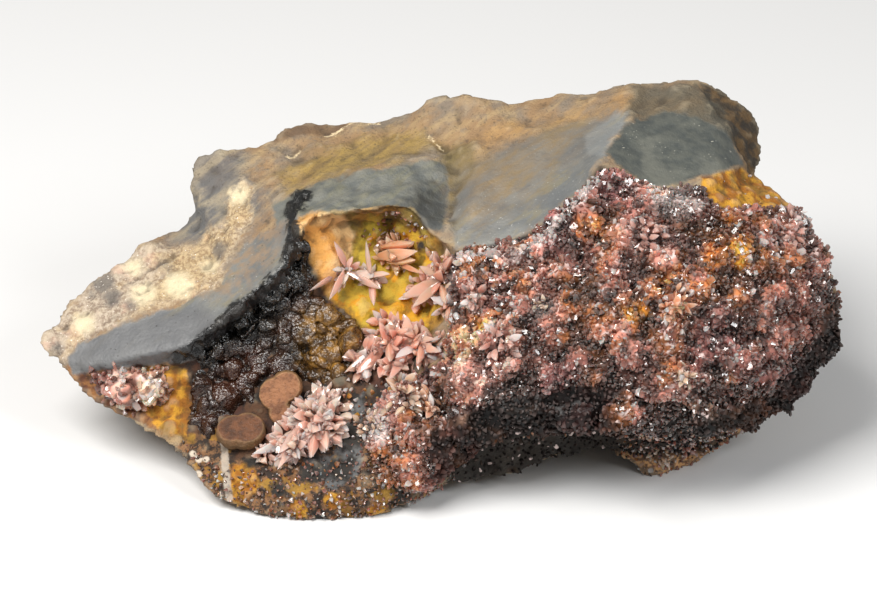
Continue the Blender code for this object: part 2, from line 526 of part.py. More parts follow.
def build_spray(name, teeth, surface, grown):
    """Crystals that grew together, cut clear of the rock that they stand on."""
    shape = bmesh.new()
    for tail, tip, width in teeth:
        dog_tooth(shape, surface(*tail), surface(*tip), width * MM)
    bmesh.ops.recalc_face_normals(shape, faces=shape.faces)
    mesh = bpy.data.meshes.new(name)
    shape.to_mesh(mesh)
    shape.free()
    spray = add_object(name, mesh, "rhodochrosite")
    core_mesh = bpy.data.meshes.new(name + "_root")
    core = bmesh.new()
    middle = sum((Vector(tail) for tail, _, _ in teeth), Vector()) / len(teeth)
    bmesh.ops.create_icosphere(core, subdivisions=1, radius=teeth[0][2] * 0.6 * MM)
    bmesh.ops.translate(core, verts=core.verts, vec=surface(middle.x, middle.y, 0.6))
    core.to_mesh(core_mesh)
    core.free()
    root = add_object(name + "_root", core_mesh, "rhodochrosite")
    hide(root)
    boolean(spray, root, "UNION")
    for neighbour in grown:
        boolean(spray, neighbour, "DIFFERENCE")
    return keep_largest(spray)


def build_bead(name, surface, grown):
    """Round beads fused in one and broken across: balls whose middles lie level are cut by a
    plane, and what is left is kept clear of the rock."""
    balls, looks, depth = BEADS[name]
    toward = Vector((0, -math.cos(SIGHT_SLOPE), math.sin(SIGHT_SLOPE)))
    upward = Vector((0, math.sin(SIGHT_SLOPE), math.cos(SIGHT_SLOPE)))
    flat = (Vector((1, 0, 0)) * looks[0] + upward * looks[1] + toward * looks[2]).normalized()
    first = surface(*balls[0][0])
    bead = None
    for spot, radius in balls:
        middle = surface(*spot)
        middle -= flat * (middle - first).dot(flat)
        shape = bmesh.new()
        bmesh.ops.create_uvsphere(shape, u_segments=14, v_segments=8, radius=radius * MM)
        bmesh.ops.translate(shape, verts=shape.verts, vec=middle)
        mesh = bpy.data.meshes.new(name)
        shape.to_mesh(mesh)
        shape.free()
        ball = add_object(name if bead is None else name + "_ball", mesh, "bead")
        if bead is None:
            bead = ball
        else:
            hide(ball)
            boolean(bead, ball, "UNION")
    shape = bmesh.new()
    shape.from_mesh(bead.data)
    cut = bmesh.ops.bisect_plane(
        shape, geom=shape.verts[:] + shape.edges[:] + shape.faces[:],
        plane_co=first + flat * depth * MM, plane_no=flat, clear_outer=True,
    )
    rim = [e for e in cut["geom_cut"] if isinstance(e, bmesh.types.BMEdge)]
    bmesh.ops.holes_fill(shape, edges=rim, sides=0)
    bmesh.ops.recalc_face_normals(shape, faces=shape.faces)
    shape.to_mesh(bead.data)
    shape.free()
    for neighbour in grown:
        boolean(bead, neighbour, "DIFFERENCE")
    return keep_largest(bead)


def grown_copy(obj, gap):
    """A hidden cutter: the object with its skin moved out by a gap."""
    copy = add_object(obj.name + "_grown", obj.data.copy(), "rock")
    grow = copy.modifiers.new("grow", "DISPLACE")
    grow.strength = gap * MM
    grow.mid_level = 0.0
    settle(copy)
    hide(copy)
    return copy


def surface_finder(rock):
    """A function that gives the point at a height above the rock's face, for a drawn place."""
    tree = BVHTree.FromPolygons([v.co for v in rock.data.vertices],
                                [p.vertices for p in rock.data.polygons])

    def surface(across, up, height=0.0):
        eye = place(across, up, -60.0)
        way = (place(across, up, 60.0) - eye).normalized()
        hit = tree.ray_cast(eye, way)[0]
        return hit - way * height * MM

    return surface


def main():
    for old in list(bpy.data.objects):
        bpy.data.objects.remove(old)
    rock = build_rock()
    surface = surface_finder(rock)
    druse = build_druse(rock, "druse_crust", DRUSE_OUTLINE, 0.95, 1)
    patch = build_druse(rock, "druse_patch_left", LEFT_PATCH_OUTLINE, 0.8, 2)
    goethite = build_goethite(rock)
    grown_rock = grown_copy(rock, SEAT_GAP)
    grown_druse = grown_copy(druse, 2 * SEAT_GAP)  # its sharp tips spread the skin thin
    grown_goethite = grown_copy(goethite, SEAT_GAP)
    for name, teeth in SPRAYS.items():
        build_spray(name, teeth, surface, [grown_rock, grown_druse, grown_goethite])
    for name in BEADS:
        build_bead(name, surface, [grown_rock, grown_goethite])
    for obj in bpy.context.scene.objects:
        obj.data.shade_flat()


main()
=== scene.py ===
# %% [markdown]
# # A rhodochrosite specimen
#
# The real thing is a hand-sized lump of weathered iron and manganese ore. Its top is brown and worn,
# its fresh breaks are smooth and grey, and the hollow under its lip is lined with black goethite and
# yellow limonite. Pink rhodochrosite grew last, as loose dog-tooth crystals in the hollow and as a
# crust of small glassy crystals, a druse, over the whole right side.
#
# This lesson starts from the specimen's plain solids, and gives each of them the fine surface and the
# finish that the real mineral has. Everything is built from code, in metres.

import math
import random

import bmesh
import bpy
import numpy as np
from mathutils import Matrix, Vector, kdtree, noise
from mathutils.bvhtree import BVHTree


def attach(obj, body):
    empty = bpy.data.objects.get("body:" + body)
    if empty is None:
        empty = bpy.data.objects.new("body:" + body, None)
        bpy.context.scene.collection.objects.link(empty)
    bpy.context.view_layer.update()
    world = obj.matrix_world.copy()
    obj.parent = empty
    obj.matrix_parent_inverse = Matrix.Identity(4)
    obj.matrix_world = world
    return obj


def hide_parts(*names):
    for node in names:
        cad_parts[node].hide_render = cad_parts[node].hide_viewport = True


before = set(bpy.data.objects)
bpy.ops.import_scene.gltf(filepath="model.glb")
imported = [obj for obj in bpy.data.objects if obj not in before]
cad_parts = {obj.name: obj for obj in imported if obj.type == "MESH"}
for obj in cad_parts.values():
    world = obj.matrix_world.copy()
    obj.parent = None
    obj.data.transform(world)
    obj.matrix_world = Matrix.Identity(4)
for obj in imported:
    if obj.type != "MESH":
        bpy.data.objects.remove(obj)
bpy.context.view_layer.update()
print("plain solids:", ", ".join(sorted(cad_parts)))

# %% [markdown]
# ## The drawing frame
#
# A stone has no axes to measure along, so its parts are placed on a drawing of its front: so many
# millimetres across, up, and behind the drawing's plane. The drawing is looked at from an eye half a
# metre away that looks 30 degrees down, and these two functions go to the drawing and back.

# %% Between the drawing and the model
MM = 0.001
SIGHT_SLOPE = math.radians(30.0)
EYE_DISTANCE = 500.0  # mm
GROUND_DROP = 19.4  # mm from the drawing's centre down to the feet
CENTRE = Vector((0.3, 11.2, -GROUND_DROP))
TOWARDS_EYE = Vector((0, -math.cos(SIGHT_SLOPE), math.sin(SIGHT_SLOPE)))
UPWARD = Vector((0, math.sin(SIGHT_SLOPE), math.cos(SIGHT_SLOPE)))


def place(across, up, behind):
    """The model's point for a drawn one."""
    spread = 1 + behind / EYE_DISTANCE
    spot = Vector((across * spread, 0, 0)) + UPWARD * up * spread - TOWARDS_EYE * behind
    return (spot - CENTRE) * MM


def drawn(points):
    """The drawn (across, up) of model points, as rows."""
    spots = np.asarray(points, float) / MM + np.array(CENTRE)
    spread = 1 - spots @ np.array(TOWARDS_EYE) / EYE_DISTANCE
    return np.column_stack((spots[:, 0] / spread, spots @ np.array(UPWARD) / spread))


print("drawing's centre in mm:", [round(c / MM, 2) for c in place(0, 0, 0)])

# %% [markdown]
# ## Camera and light
#
# A stone this small is looked at from some way off, through a long lens, so that the view is almost
# flat. The two lamps are of middling size: large enough for soft shadows, and small enough for glassy
# crystals to mirror them as sparks. The white surroundings fill in the rest.

# %% The camera looks along the drawing's line of sight
FRAME_WIDTH = 87.7  # mm that the view spans at the drawing's plane
FRAME_PIXELS = 877
CENTRE_SHIFT = (0.5 / FRAME_PIXELS, 3.0 / FRAME_PIXELS)

camera_data = bpy.data.cameras.new("camera")
camera_data.sensor_width = 36
camera_data.lens = camera_data.sensor_width * EYE_DISTANCE / FRAME_WIDTH
camera_data.shift_x, camera_data.shift_y = CENTRE_SHIFT
camera_data.clip_start, camera_data.clip_end = 0.01, 20
camera = bpy.data.objects.new("camera", camera_data)
bpy.context.scene.collection.objects.link(camera)
camera.matrix_world = Matrix.Translation(place(0, 0, -EYE_DISTANCE)) @ Matrix(
    (Vector((1, 0, 0)), UPWARD, TOWARDS_EYE)).transposed().to_4x4()
bpy.context.scene.camera = camera
print(f"lens {camera_data.lens:.0f} mm")

# %% Lamps and surroundings
LAMP_AIM = Vector((0, 0, 14 * MM))
SURROUNDINGS = 0.26  # strength of the white all round


def square_lamp(name, spot_mm, size_mm, watts, tint):
    """A square lamp at a spot in millimetres, turned to the stone's middle."""
    lamp = bpy.data.lights.new(name, "AREA")
    lamp.size, lamp.energy, lamp.color = size_mm * MM, watts, tint
    holder = bpy.data.objects.new(name, lamp)
    bpy.context.scene.collection.objects.link(holder)
    holder.location = Vector(spot_mm) * MM
    holder.rotation_euler = (LAMP_AIM - holder.location).to_track_quat("-Z", "Y").to_euler()


square_lamp("key", (-170, -150, 350), 230, 2.65, (1, 0.98, 0.95))
square_lamp("side", (240, -200, 250), 130, 0.75, (0.97, 0.99, 1))
world = bpy.data.worlds.new("studio")
bpy.context.scene.world = world
world.use_nodes = True
background = world.node_tree.nodes["Background"]
background.inputs["Color"].default_value = (1, 1, 1, 1)
background.inputs["Strength"].default_value = SURROUNDINGS
bpy.context.scene.view_settings.view_transform = "Standard"

# %% [markdown]
# ## Shader sums as Python
#
# A material is a web of nodes, and a web is hard to read. So a socket is wrapped in a small class that
# knows how to add, take away and multiply, and a finish is written as ordinary expressions. Colours go
# through Mix nodes, because a Math node would turn them grey.

# %% A socket that does sums
class Wire:
    """An output socket of a finish. Sums with numbers or other wires add Math nodes."""

    def __init__(self, finish, socket):
        self.finish, self.socket = finish, socket

    def sum(self, operation, *values):
        return self.finish.node("ShaderNodeMath", {"operation": operation}, dict(enumerate(values)))

    def __add__(self, other):
        return self.sum("ADD", self, other)

    def __sub__(self, other):
        return self.sum("SUBTRACT", self, other)

    def __rsub__(self, other):
        return self.sum("SUBTRACT", other, self)

    def __mul__(self, other):
        return self.sum("MULTIPLY", self, other)

    def largest(self, other):
        return self.sum("MAXIMUM", self, other)

    __radd__, __rmul__ = __add__, __mul__


# %% A finish, which is a material under construction
class Finish:
    """A Principled material. Its constant values are given at the start, by socket name."""

    def __init__(self, name, **constants):
        self.material = bpy.data.materials.new(name)
        self.material.use_nodes = True
        self.tree = self.material.node_tree
        self.shader = self.tree.nodes["Principled BSDF"]
        for socket, value in constants.items():
            self.shader.inputs[socket.replace("_", " ")].default_value = value
        self.spot = self.node("ShaderNodeTexCoord", out="Object")

    def node(self, kind, settings=None, sockets=None, out=0):
        """Adds a node: its settings are set first, then its sockets get values or links."""
        made = self.tree.nodes.new(kind)
        for key, value in (settings or {}).items():
            setattr(made, key, value)
        for key, value in (sockets or {}).items():
            if isinstance(value, Wire):
                self.tree.links.new(value.socket, made.inputs[key])
            else:
                made.inputs[key].default_value = value
        return Wire(self, made.outputs[out])

    def feed(self, socket, wire):
        self.tree.links.new(wire.socket, self.shader.inputs[socket])

    def attribute(self, name, out="Fac"):
        return self.node("ShaderNodeAttribute", {"attribute_name": name}, out=out)

    def stretched(self, lean, stretch):
        """Coordinates for streaks that rise on the drawing by lean degrees to the right."""
        lean = math.radians(lean)
        along = Vector((math.cos(lean), 0, 0)) + UPWARD * math.sin(lean)
        axes = Matrix((along, -TOWARDS_EYE, along.cross(-TOWARDS_EYE))).transposed()
        return self.node("ShaderNodeMapping", {"vector_type": "TEXTURE"}, {
            "Vector": self.spot, "Rotation": axes.to_euler(), "Scale": (stretch, stretch, 1)})

    def cloud(self, size_mm, detail=3.0, rough=0.55, warp=0.0, spot=None):
        """Noise from 0 to 1 whose features are about size_mm across."""
        return self.node("ShaderNodeTexNoise", {}, {
            "Vector": spot or self.spot, "Scale": 1 / (size_mm * MM), "Detail": detail,
            "Roughness": rough, "Distortion": warp})

    def cells(self, size_mm):
        """Distance to the middle of the nearest of many cells, size_mm apart."""
        return self.node("ShaderNodeTexVoronoi", {"feature": "F1"}, {
            "Vector": self.spot, "Scale": 1 / (size_mm * MM)}, "Distance")

    def step(self, wire, low, high):
        """0 below low, 1 above high, and smooth between them."""
        return self.node("ShaderNodeMapRange", {"interpolation_type": "SMOOTHSTEP"}, {
            "Value": wire, "From Min": low, "From Max": high})

    def mix(self, share, first, second):
        """The first colour where share is 0, the second where it is 1. Each is a paint or a wire."""
        first, second = (c if isinstance(c, Wire) else paint(*c) for c in (first, second))
        return self.node("ShaderNodeMix", {"data_type": "RGBA"}, {0: share, 6: first, 7: second}, 2)

    def coated(self, tone, *coats):
        """Lays coats over a tone. Each has a wire, its two steps, a strength and a colour."""
        for wire, low, high, strength, colour in coats:
            tone = self.mix(self.step(wire, low, high) * strength, tone, colour)
        return tone

    def grade(self, wire, low, high, first, second, *coats):
        """Goes from one colour to another as a wire goes from low to high, with coats over them."""
        return self.coated(self.mix(self.step(wire, low, high), first, second), *coats)

    def bump(self, height, depth_mm):
        """Small relief: a height from 0 to 1 that stands depth_mm high."""
        self.feed("Normal", self.node("ShaderNodeBump", {}, {
            "Height": height, "Distance": depth_mm * MM, "Strength": 1.0}))


def paint(red, green, blue):
    """A colour as a paint chart gives it, 0 to 255, turned to the linear light that shaders use."""
    def linear(part):
        share = part / 255
        return share / 12.92 if share <= 0.04045 else ((share + 0.055) / 1.055) ** 2.4
    return (linear(red), linear(green), linear(blue), 1.0)


print("weathered brown as light:", [round(c, 2) for c in paint(160, 132, 92)])

# %% [markdown]
# ## Where each mineral shows
#
# Each zone of the stone is an outline on the drawing, in millimetres. A point's depth inside an
# outline is measured along the drawing, so a finish can make the border as soft or as ragged as the
# real one by adding noise to that depth.

# %% Outlines on the drawing
def pairs(*numbers):
    """The corners of an outline from a row of numbers: across and up, in turns."""
    return list(zip(numbers[::2], numbers[1::2]))


ZONES = {
    "blade": pairs(-37, -5.7, -35.9, -4.5, -32.3, -2.8, -29.9, -1.8, -25.4, -0.4, -24.4, 0.4,
        -21.8, 1.2, -20.4, 4.2, -19.1, 5.7, -16.6, 7, -14, 8.6, -14.6, 6, -15.4, 2.8, -18.8, 0.2,
        -22.4, -2.6, -24.4, -5.8, -28.6, -6.7, -32.6, -7, -36.8, -7.5),
    "slate": pairs(-38.5, -6, -33.8, -2.6, -28, -1.4, -24, -0.6, -20.8, -2.6, -24.8, -7.5, -30.8, -8.4,
        -37.4, -8.6),
    "brown_blade": pairs(-23.4, 0.6, -22.3, 6, -18.8, 9, -15.3, 7.8, -16.6, 4, -19.4, 0.8),
    "band_end": pairs(-3.6, 9.6, -1.8, 11.2, 0.6, 11.6, 1.2, 8, 0.6, 6.2, -1.4, 6.6),
    "band": pairs(-16.6, 9.3, -14.4, 10.1, -12.7, 11.1, -9.5, 12.2, -5.4, 12.8, -1.3, 13.6, 0.7, 13.8,
        0.9, 11.8, 0.5, 6.7, -1.3, 7.1, -2.3, 9.3, -5.4, 9.7, -8.5, 8.9, -11.5, 8.9, -13.9, 8.4,
        -16, 7.2),
    "grey_face": pairs(3.4, 12.4, 6, 14.8, 9.4, 16.2, 13.4, 17.7, 17.8, 18.3, 18.8, 17.6, 18.7, 16.4,
        17.2, 15.2, 16.8, 13.6, 15.8, 12.6, 13.4, 10.2, 10, 7.2, 6.6, 5.6, 1.8, 5.2, 1.2, 8.4, 1.8, 11),
    "face_stain": pairs(2.8, 13, 6, 15.6, 9.4, 17, 13.4, 18.4, 16.5, 18.8, 14, 15.4, 10.5, 12.4,
        7.2, 9.6, 4.6, 7.4, 2.4, 8.4, 1.8, 11.4),
    "chip": pairs(14.6, 16.6, 17.8, 18.5, 18.8, 17.6, 18.6, 16.3, 16.6, 13.6, 15, 14.4),
    "dark_face": pairs(18.7, 16.7, 22.6, 18.9, 26, 18.4, 28.9, 16.7, 30.8, 13.6, 26.5, 12.5, 23.6, 11.6,
        21.2, 11.4, 17.8, 13.4, 16.8, 14),
    "dark_ridge": pairs(18.8, 17.4, 19.4, 20.6, 22, 21.4, 26, 21.8, 28, 20, 30, 16, 29, 15.6, 26, 17.4,
        22.6, 18),
    "pale": pairs(-39.9, -3.9, -39.6, -2.8, -35.9, 1, -33.1, 3.4, -30.7, 5.3, -28, 5.6, -24.4, 5.7,
        -22.8, 6.9, -21.4, 8.1, -20.8, 11.3, -19.5, 12.3, -18.3, 11.5, -18.7, 8.9, -18.2, 8.1, -18.9, 6.9,
        -20.1, 5.2, -21.8, 1.4, -24.6, 0.2, -28, -1, -31.5, -2.2, -33.9, -3.4, -36.1, -4.5, -37.1, -6.1,
        -38.2, -5.9),
    "wing_yellow": pairs(-28, 4.6, -22, 7.6, -20.6, 11.8, -18.4, 12, -18.2, 8.5, -20.4, 5, -21.8, 1.6,
        -26, -0.2, -30.6, -2, -28.6, 1.2),
    "shoulder": pairs(-25.8, 14.6, -23, 16.2, -19.6, 14.6, -17.6, 11, -17, 8.4, -19, 6.4, -23, 5.4,
        -28, 5.2, -25.6, 8, -25.4, 11),
    "slab": pairs(-16.6, 17.9, -14, 18.2, -9.4, 18.2, -9, 16.8, -13, 16.4, -16.4, 15.8),
    "olive_top": pairs(-15.8, 12.2, -13.4, 14.6, -9, 15.8, -3, 16.6, 0.6, 16, -2, 14.2, -7.4, 13,
        -11.6, 11.6, -14.8, 10.6),
    "ochre_top": pairs(2, 13.8, 5, 17, 12, 18.6, 18, 20, 26, 20.6, 28.4, 19.4, 20, 18.4, 13, 17.6,
        7, 15.6),
    "gully": pairs(0.4, 15.6, 3.6, 15.4, 4.4, 12.6, 3.4, 9.8, 2, 8.4, 0.7, 9.6, 0.2, 12.6),
    "right_lobe": pairs(26.7, 22.6, 33.6, 19.8, 33.4, 12.8, 31.4, 12.6, 30.6, 14.6, 28.6, 17.4,
        26.8, 19.6),
    "ochre_patch": pairs(26.4, 12.4, 30.4, 13.2, 32.6, 12, 35, 9.6, 32.4, 8.6, 28.6, 9.2, 26.2, 10.2),
    "hollow": pairs(-14.4, 8, -11.6, 9, -8.5, 9, -5.4, 9.8, -2.3, 9.4, -1.2, 7.2, 0.4, 5.6, 1, 2,
        0.8, -1.8, -2, -4.6, -5.8, -6, -8, -8.6, -11, -8.8, -13, -6, -13.6, -2, -14.6, 3),
    "yellow": pairs(-9.4, 1.6, -8.4, 5.4, -7, 8.4, -4, 8, -1, 6.6, 0.4, 2.8, 0.4, -0.6, -1.6, -3.4,
        -5.8, -3.6, -8.8, -1.6, -10.6, 0.4),
    "pillar": pairs(-14, 7.8, -12.4, 8.8, -9.6, 8.6, -8.6, 6.4, -8.8, 3.2, -9.8, 1, -11.2, 0.8,
        -12.2, 3, -13.6, 5),
    "ochre_left": pairs(-30.4, -7, -28, -6.4, -25.2, -7, -24.6, -10.4, -25.2, -13.8, -27.4, -13.6,
        -29.4, -10.8, -30.8, -8.6),
    "rusty_left": pairs(-37.5, -6.6, -33, -6.4, -29.6, -6.4, -30, -9, -28, -13, -33, -11, -36.6, -8.6),
    "slope": pairs(-27.4, -5.6, -24.6, -4.2, -22.4, -2.8, -18.8, 0, -15.4, 2.6, -14, 6.4, -12.6, 3.2,
        -11.2, 0.4, -8.4, -1.8, -5.6, -3.6, 1, -4.6, -2, -7.4, -6, -10.6, -7, -16.4, -13, -17,
        -21.4, -16.6, -24.6, -15.6, -26.2, -13, -24.8, -9.6),
    "base": pairs(-24.8, -13.4, -21.6, -12.6, -20.6, -16, -15, -15.4, -8, -11.6, -5.8, -11, -3.6, -17,
        1, -19, 1, -22.6, -40, -26),
    "ochre_low": pairs(-20.6, -16.4, -18.6, -16.2, -17.8, -18.6, -19.6, -20.4, -20.8, -19.8),
    "vein": pairs(-13.8, -15, -10.4, -15.8, -9.6, -12.6, -8.6, -9.8, -7.2, -8.8, -7.6, -12, -7.8, -17.6,
        -10.4, -19.2, -13.4, -17.2),
    "foot": pairs(16.6, -12.6, 27, -12, 37.4, -9, 33, -15, 27, -18.4, 22, -19.6, 17.6, -16.4),
    "recess": pairs(-1, -13.6, 4.6, -12, 10.6, -12, 16.2, -11, 20.4, -12, 26.6, -12.2, 30, -13.4,
        26, -15.2, 18.6, -15.4, 12, -18, 5, -19.6, 1.6, -19.4),
}
DRUSE = pairs(1.6, 4.8, 6.2, 5.6, 9.6, 6.8, 13.2, 10, 16.2, 12.8, 18.6, 12.8, 21.2, 11.2, 26.2, 11.2,
    27.4, 9.4, 31.2, 9, 36.2, 9, 38.4, 5, 39.4, 1.5, 39.8, -1.8, 39.2, -5.2, 37.4, -7.8, 35, -10.4,
    31.4, -12.2, 26.4, -13.2, 22.2, -13.6, 18.7, -13.2, 16, -11.6, 10.8, -13.2, 5.2, -13.6, 2.7, -16.2,
    -1.6, -19.2, -5.8, -18.4, -7.4, -14, -6.2, -10, -3.6, -8.4, 0.6, -6, 1.6, -1.4, 1.2, 1.5)
DRUSE_LEFT = pairs(-34.4, -7.2, -31, -6.6, -27.4, -6.9, -26.6, -9.6, -30, -11.4, -33.6, -9.8)
GOETHITE = pairs(-24, -5.2, -21.6, -3.2, -18.4, -0.6, -15, 2.4, -13.8, 6.4, -12.8, 4.2, -12.2, 1,
    -9.6, -1.4, -6.6, -3.4, -8, -5.4, -9, -7.6, -12, -8.8, -15, -7.8, -17.4, -8.2, -18.6, -10.6,
    -21.4, -12, -22.8, -14.6, -25, -12.4, -24.8, -9)
WHITE_STREAKS = [
    [(-15.2, 14.5), (-14.4, 14.7), (-13.8, 15.2)],
    [(-11.3, 16.5), (-10.2, 16.7), (-9.2, 17.3), (-7.8, 17.8), (-6.9, 17.6), (-5.8, 17.6)],
    [(-0.9, 16.4), (-0.2, 15.9), (0.5, 15.7)],
]
RIDGES = [  # each a line on the drawing, its half width and its lift in mm
    ([(16.2, 12.8), (17.4, 15.2), (18.8, 17.0), (19.6, 20.6)], 2.6, 0.8),
    ([(0.4, 15.6), (1.6, 12.6), (1.2, 8.6)], 1.6, -0.8),
    ([(3.8, 15.2), (4.6, 12.0), (3.6, 9.0)], 1.4, 0.45),
    ([(-16.6, 9.3), (-12.7, 11.1), (-5.4, 12.8), (0.4, 13.8)], 1.6, 0.45),
    ([(-29.0, 3.0), (-26.6, 4.4)], 0.6, -0.5), ([(-22.6, 8.0), (-24.2, 12.0), (-23.4, 15.2)], 1.6, 0.4),
    ([(27.2, 21.6), (30.2, 17.4), (31.6, 13.4)], 1.6, -0.6), ([(6.0, 12.6), (10.6, 15.8)], 1.8, 0.3),
    ([(-0.6, 19.4), (2.0, 20.2), (4.6, 19.8)], 2.6, 0.7), ([(-18.4, 12.6), (-14.0, 14.6)], 1.4, -0.3),
    ([(-7.6, 14.6), (-2.4, 15.4)], 1.2, -0.3), ([(9.0, 18.0), (16.0, 19.0)], 1.2, -0.3),
    ([(20.6, 19.6), (25.0, 20.4)], 1.2, -0.35),
]
LIP_EDGE = [[(-26.0, -5.6), (-24.2, -4.9), (-22.0, -2.9), (-18.6, -0.2), (-15.2, 2.8), (-14.3, 6.0),
             (-14.4, 8.6), (-13.4, 10.2)]]
PALE_SEAM = [[(-21.6, -12.9), (-21.3, -16.0), (-20.9, -19.9)]]
print("zones:", ", ".join(ZONES))

# %% Distances on the drawing
def away_from_stretch(flat, start, end):
    """Distances of drawn places to a straight stretch."""
    start, run = np.array(start), np.subtract(end, start)
    along = np.clip(((flat - start) @ run) / (run @ run), 0, 1)
    return np.linalg.norm(flat - start - along[:, None] * run, axis=1)


def away_from_lines(flat, lines):
    return np.min([away_from_stretch(flat, a, b) for line in lines for a, b in zip(line, line[1:])],
                  axis=0)


SPOTS = {  # patches too small for an outline: across, up and radius in mm
    "dark_spots": [(-33.6, 1.6, 1.2), (-32.6, 0.2, 0.9), (-34.6, 0.6, 0.6), (-27.4, 3.6, 0.5),
                   (-26.9, 3.0, 0.5), (-38.1, -4.9, 0.5), (-30.6, -0.6, 0.4), (-22.6, 8.6, 0.9),
                   (-21.8, 5.0, 0.8), (-24.6, 6.2, 0.8), (-4.9, 8.4, 0.7), (-1.6, 5.4, 0.5),
                   (-7.6, -10.8, 1.0), (-8.6, -13.6, 1.2), (-9.6, -17.0, 1.2), (-12.8, -17.2, 1.0),
                   (-18.6, -15.8, 0.9), (-16.0, -19.0, 0.9), (-3.6, -19.6, 0.9), (-12.0, -21.4, 0.8)],
    "cream_spots": [(-29.4, 0.6, 1.2), (-26.0, 1.6, 1.3), (-30.4, 3.4, 0.8), (-20.0, 10.6, 0.9),
                    (-35.4, -2.2, 1.0), (-22.9, 3.4, 0.8), (-23.9, -15.9, 0.42), (-24.5, -15.4, 0.34),
                    (-23.2, -15.9, 0.34), (-24.0, -17.4, 0.4), (-21.7, -19.4, 0.3)],
    "ochre_spots": [(-5.3, -7.0, 0.7), (-18.2, -6.6, 0.6), (-16.0, -4.4, 0.5), (-22.2, -5.2, 0.6),
                    (-14.0, -21.0, 1.0), (-6.0, -21.0, 0.9), (-10.6, -20.0, 0.8), (7.4, -17.2, 0.6),
                    (3.0, -3.6, 0.7), (16.0, 6.0, 0.8)],
}


def depth_inside(flat, outline):
    """How far inside an outline each drawn place lies, in mm; outside it is below zero."""
    inside = np.zeros(len(flat), bool)
    stretches = list(zip(outline, outline[1:] + outline[:1]))
    for (ax, ay), (bx, by) in stretches:
        if ay != by:
            crosses = (flat[:, 1] < ay) != (flat[:, 1] < by)
            inside ^= crosses & (flat[:, 0] < ax + (flat[:, 1] - ay) * (bx - ax) / (by - ay))
    best = np.min([away_from_stretch(flat, a, b) for a, b in stretches], axis=0)
    return np.where(inside, best, -best)


print("depth of the drawing's middle in the druse:", depth_inside(np.array([[10.0, 0.0]]), DRUSE))

# %% [markdown]
# ## The rock's skin
#
# The plain rock has some 3,600 triangles. A voxel remesh lays an even net over it, fine
# enough to carry grains and pits, and every point of the net is then moved by noise. Which noise
# depends on the zone: sugary on the pale wing, almost none on the grey breaks, lumpy in the hollow.

# %% Small tools for meshes
def add_piece(name, mesh, finish=None, smooth=False):
    piece = bpy.data.objects.new(name, mesh)
    bpy.context.scene.collection.objects.link(piece)
    if finish:
        mesh.materials.clear()
        mesh.materials.append(finish.material)
    mesh.polygons.foreach_set("use_smooth", [smooth] * len(mesh.polygons))
    return piece


def remeshed(node, step_mm):
    """A copy of a plain solid's mesh under an even net."""
    copy = add_piece("net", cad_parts[node].data.copy())
    net = copy.modifiers.new("net", "REMESH")
    net.mode = "VOXEL"
    net.voxel_size = step_mm * MM
    bpy.context.view_layer.update()
    mesh = bpy.data.meshes.new_from_object(copy.evaluated_get(bpy.context.evaluated_depsgraph_get()))
    bpy.data.objects.remove(copy)
    return mesh


def corners_of(mesh):
    points = np.empty(len(mesh.vertices) * 3)
    mesh.vertices.foreach_get("co", points)
    return points.reshape(-1, 3)


def normals_of(mesh):
    normals = np.empty(len(mesh.vertices) * 3, np.float32)
    mesh.vertex_normals.foreach_get("vector", normals)
    return normals.reshape(-1, 3).astype(float)


def move_corners(mesh, points):
    mesh.vertices.foreach_set("co", points.ravel())
    mesh.update()


def keep_values(mesh, name, values):
    """Stores one number at each corner, for a finish to read."""
    layer = mesh.attributes.new(name, "FLOAT", "POINT")
    layer.data.foreach_set("value", np.asarray(values, np.float32))


def keep_colours(mesh, colours):
    """Stores one colour at each corner, under the name tint."""
    layer = mesh.attributes.new("tint", "FLOAT_COLOR", "POINT")
    layer.data.foreach_set("color", np.insert(colours, 3, 1, axis=1).astype(np.float32).ravel())


def values_of(mesh, name):
    values = np.empty(len(mesh.vertices), np.float32)
    mesh.attributes[name].data.foreach_get("value", values)
    return values


# %% Kinds of relief
def seeded(points, size_mm, seed):
    shift = Vector((seed, seed * 1.7, seed * 0.6))
    return [Vector(p) / size_mm + shift for p in points / MM]


def lumps(points, size_mm, seed=0.0):
    """Smooth noise, about -1 to 1."""
    return np.array([noise.noise(p) for p in seeded(points, size_mm, seed)])


def crags(points, size_mm, seed=0.0):
    """Rough noise with sharp ridges and rounded bottoms, about -1 to 1."""
    return np.array([noise.ridged_multi_fractal(p, 0.9, 2.1, 4, 1.0, 2.0) - 1.1
                     for p in seeded(points, size_mm, seed)])


def blisters(points, size_mm, seed=0.0):
    """Round bumps that meet in creases, 0 in the crease and 1 on top."""
    near = [noise.voronoi(p)[0][0] for p in seeded(points, size_mm, seed)]
    return 1 - np.minimum(np.array(near) / 0.75, 1) ** 2


def ramp(values, low, high):
    """0 below low, 1 above high, and smooth between them."""
    share = np.clip((values - low) / (high - low), 0, 1)
    return share * share * (3 - 2 * share)


def humps(mesh, points, normals, rounds):
    """How far each corner stands out of its smoothed surroundings, in mm."""
    edges = np.empty(len(mesh.edges) * 2, np.int32)
    mesh.edges.foreach_get("vertices", edges)
    here, there = np.concatenate((edges[0::2], edges[1::2])), np.concatenate((edges[1::2], edges[0::2]))
    neighbours = np.bincount(here, minlength=len(points))[:, None]
    smooth = points.copy()
    for _ in range(rounds):
        smooth = np.column_stack([np.bincount(here, smooth[there, axis], len(points))
                                  for axis in range(3)]) / neighbours
    return ((points - smooth) * normals).sum(axis=1) / MM


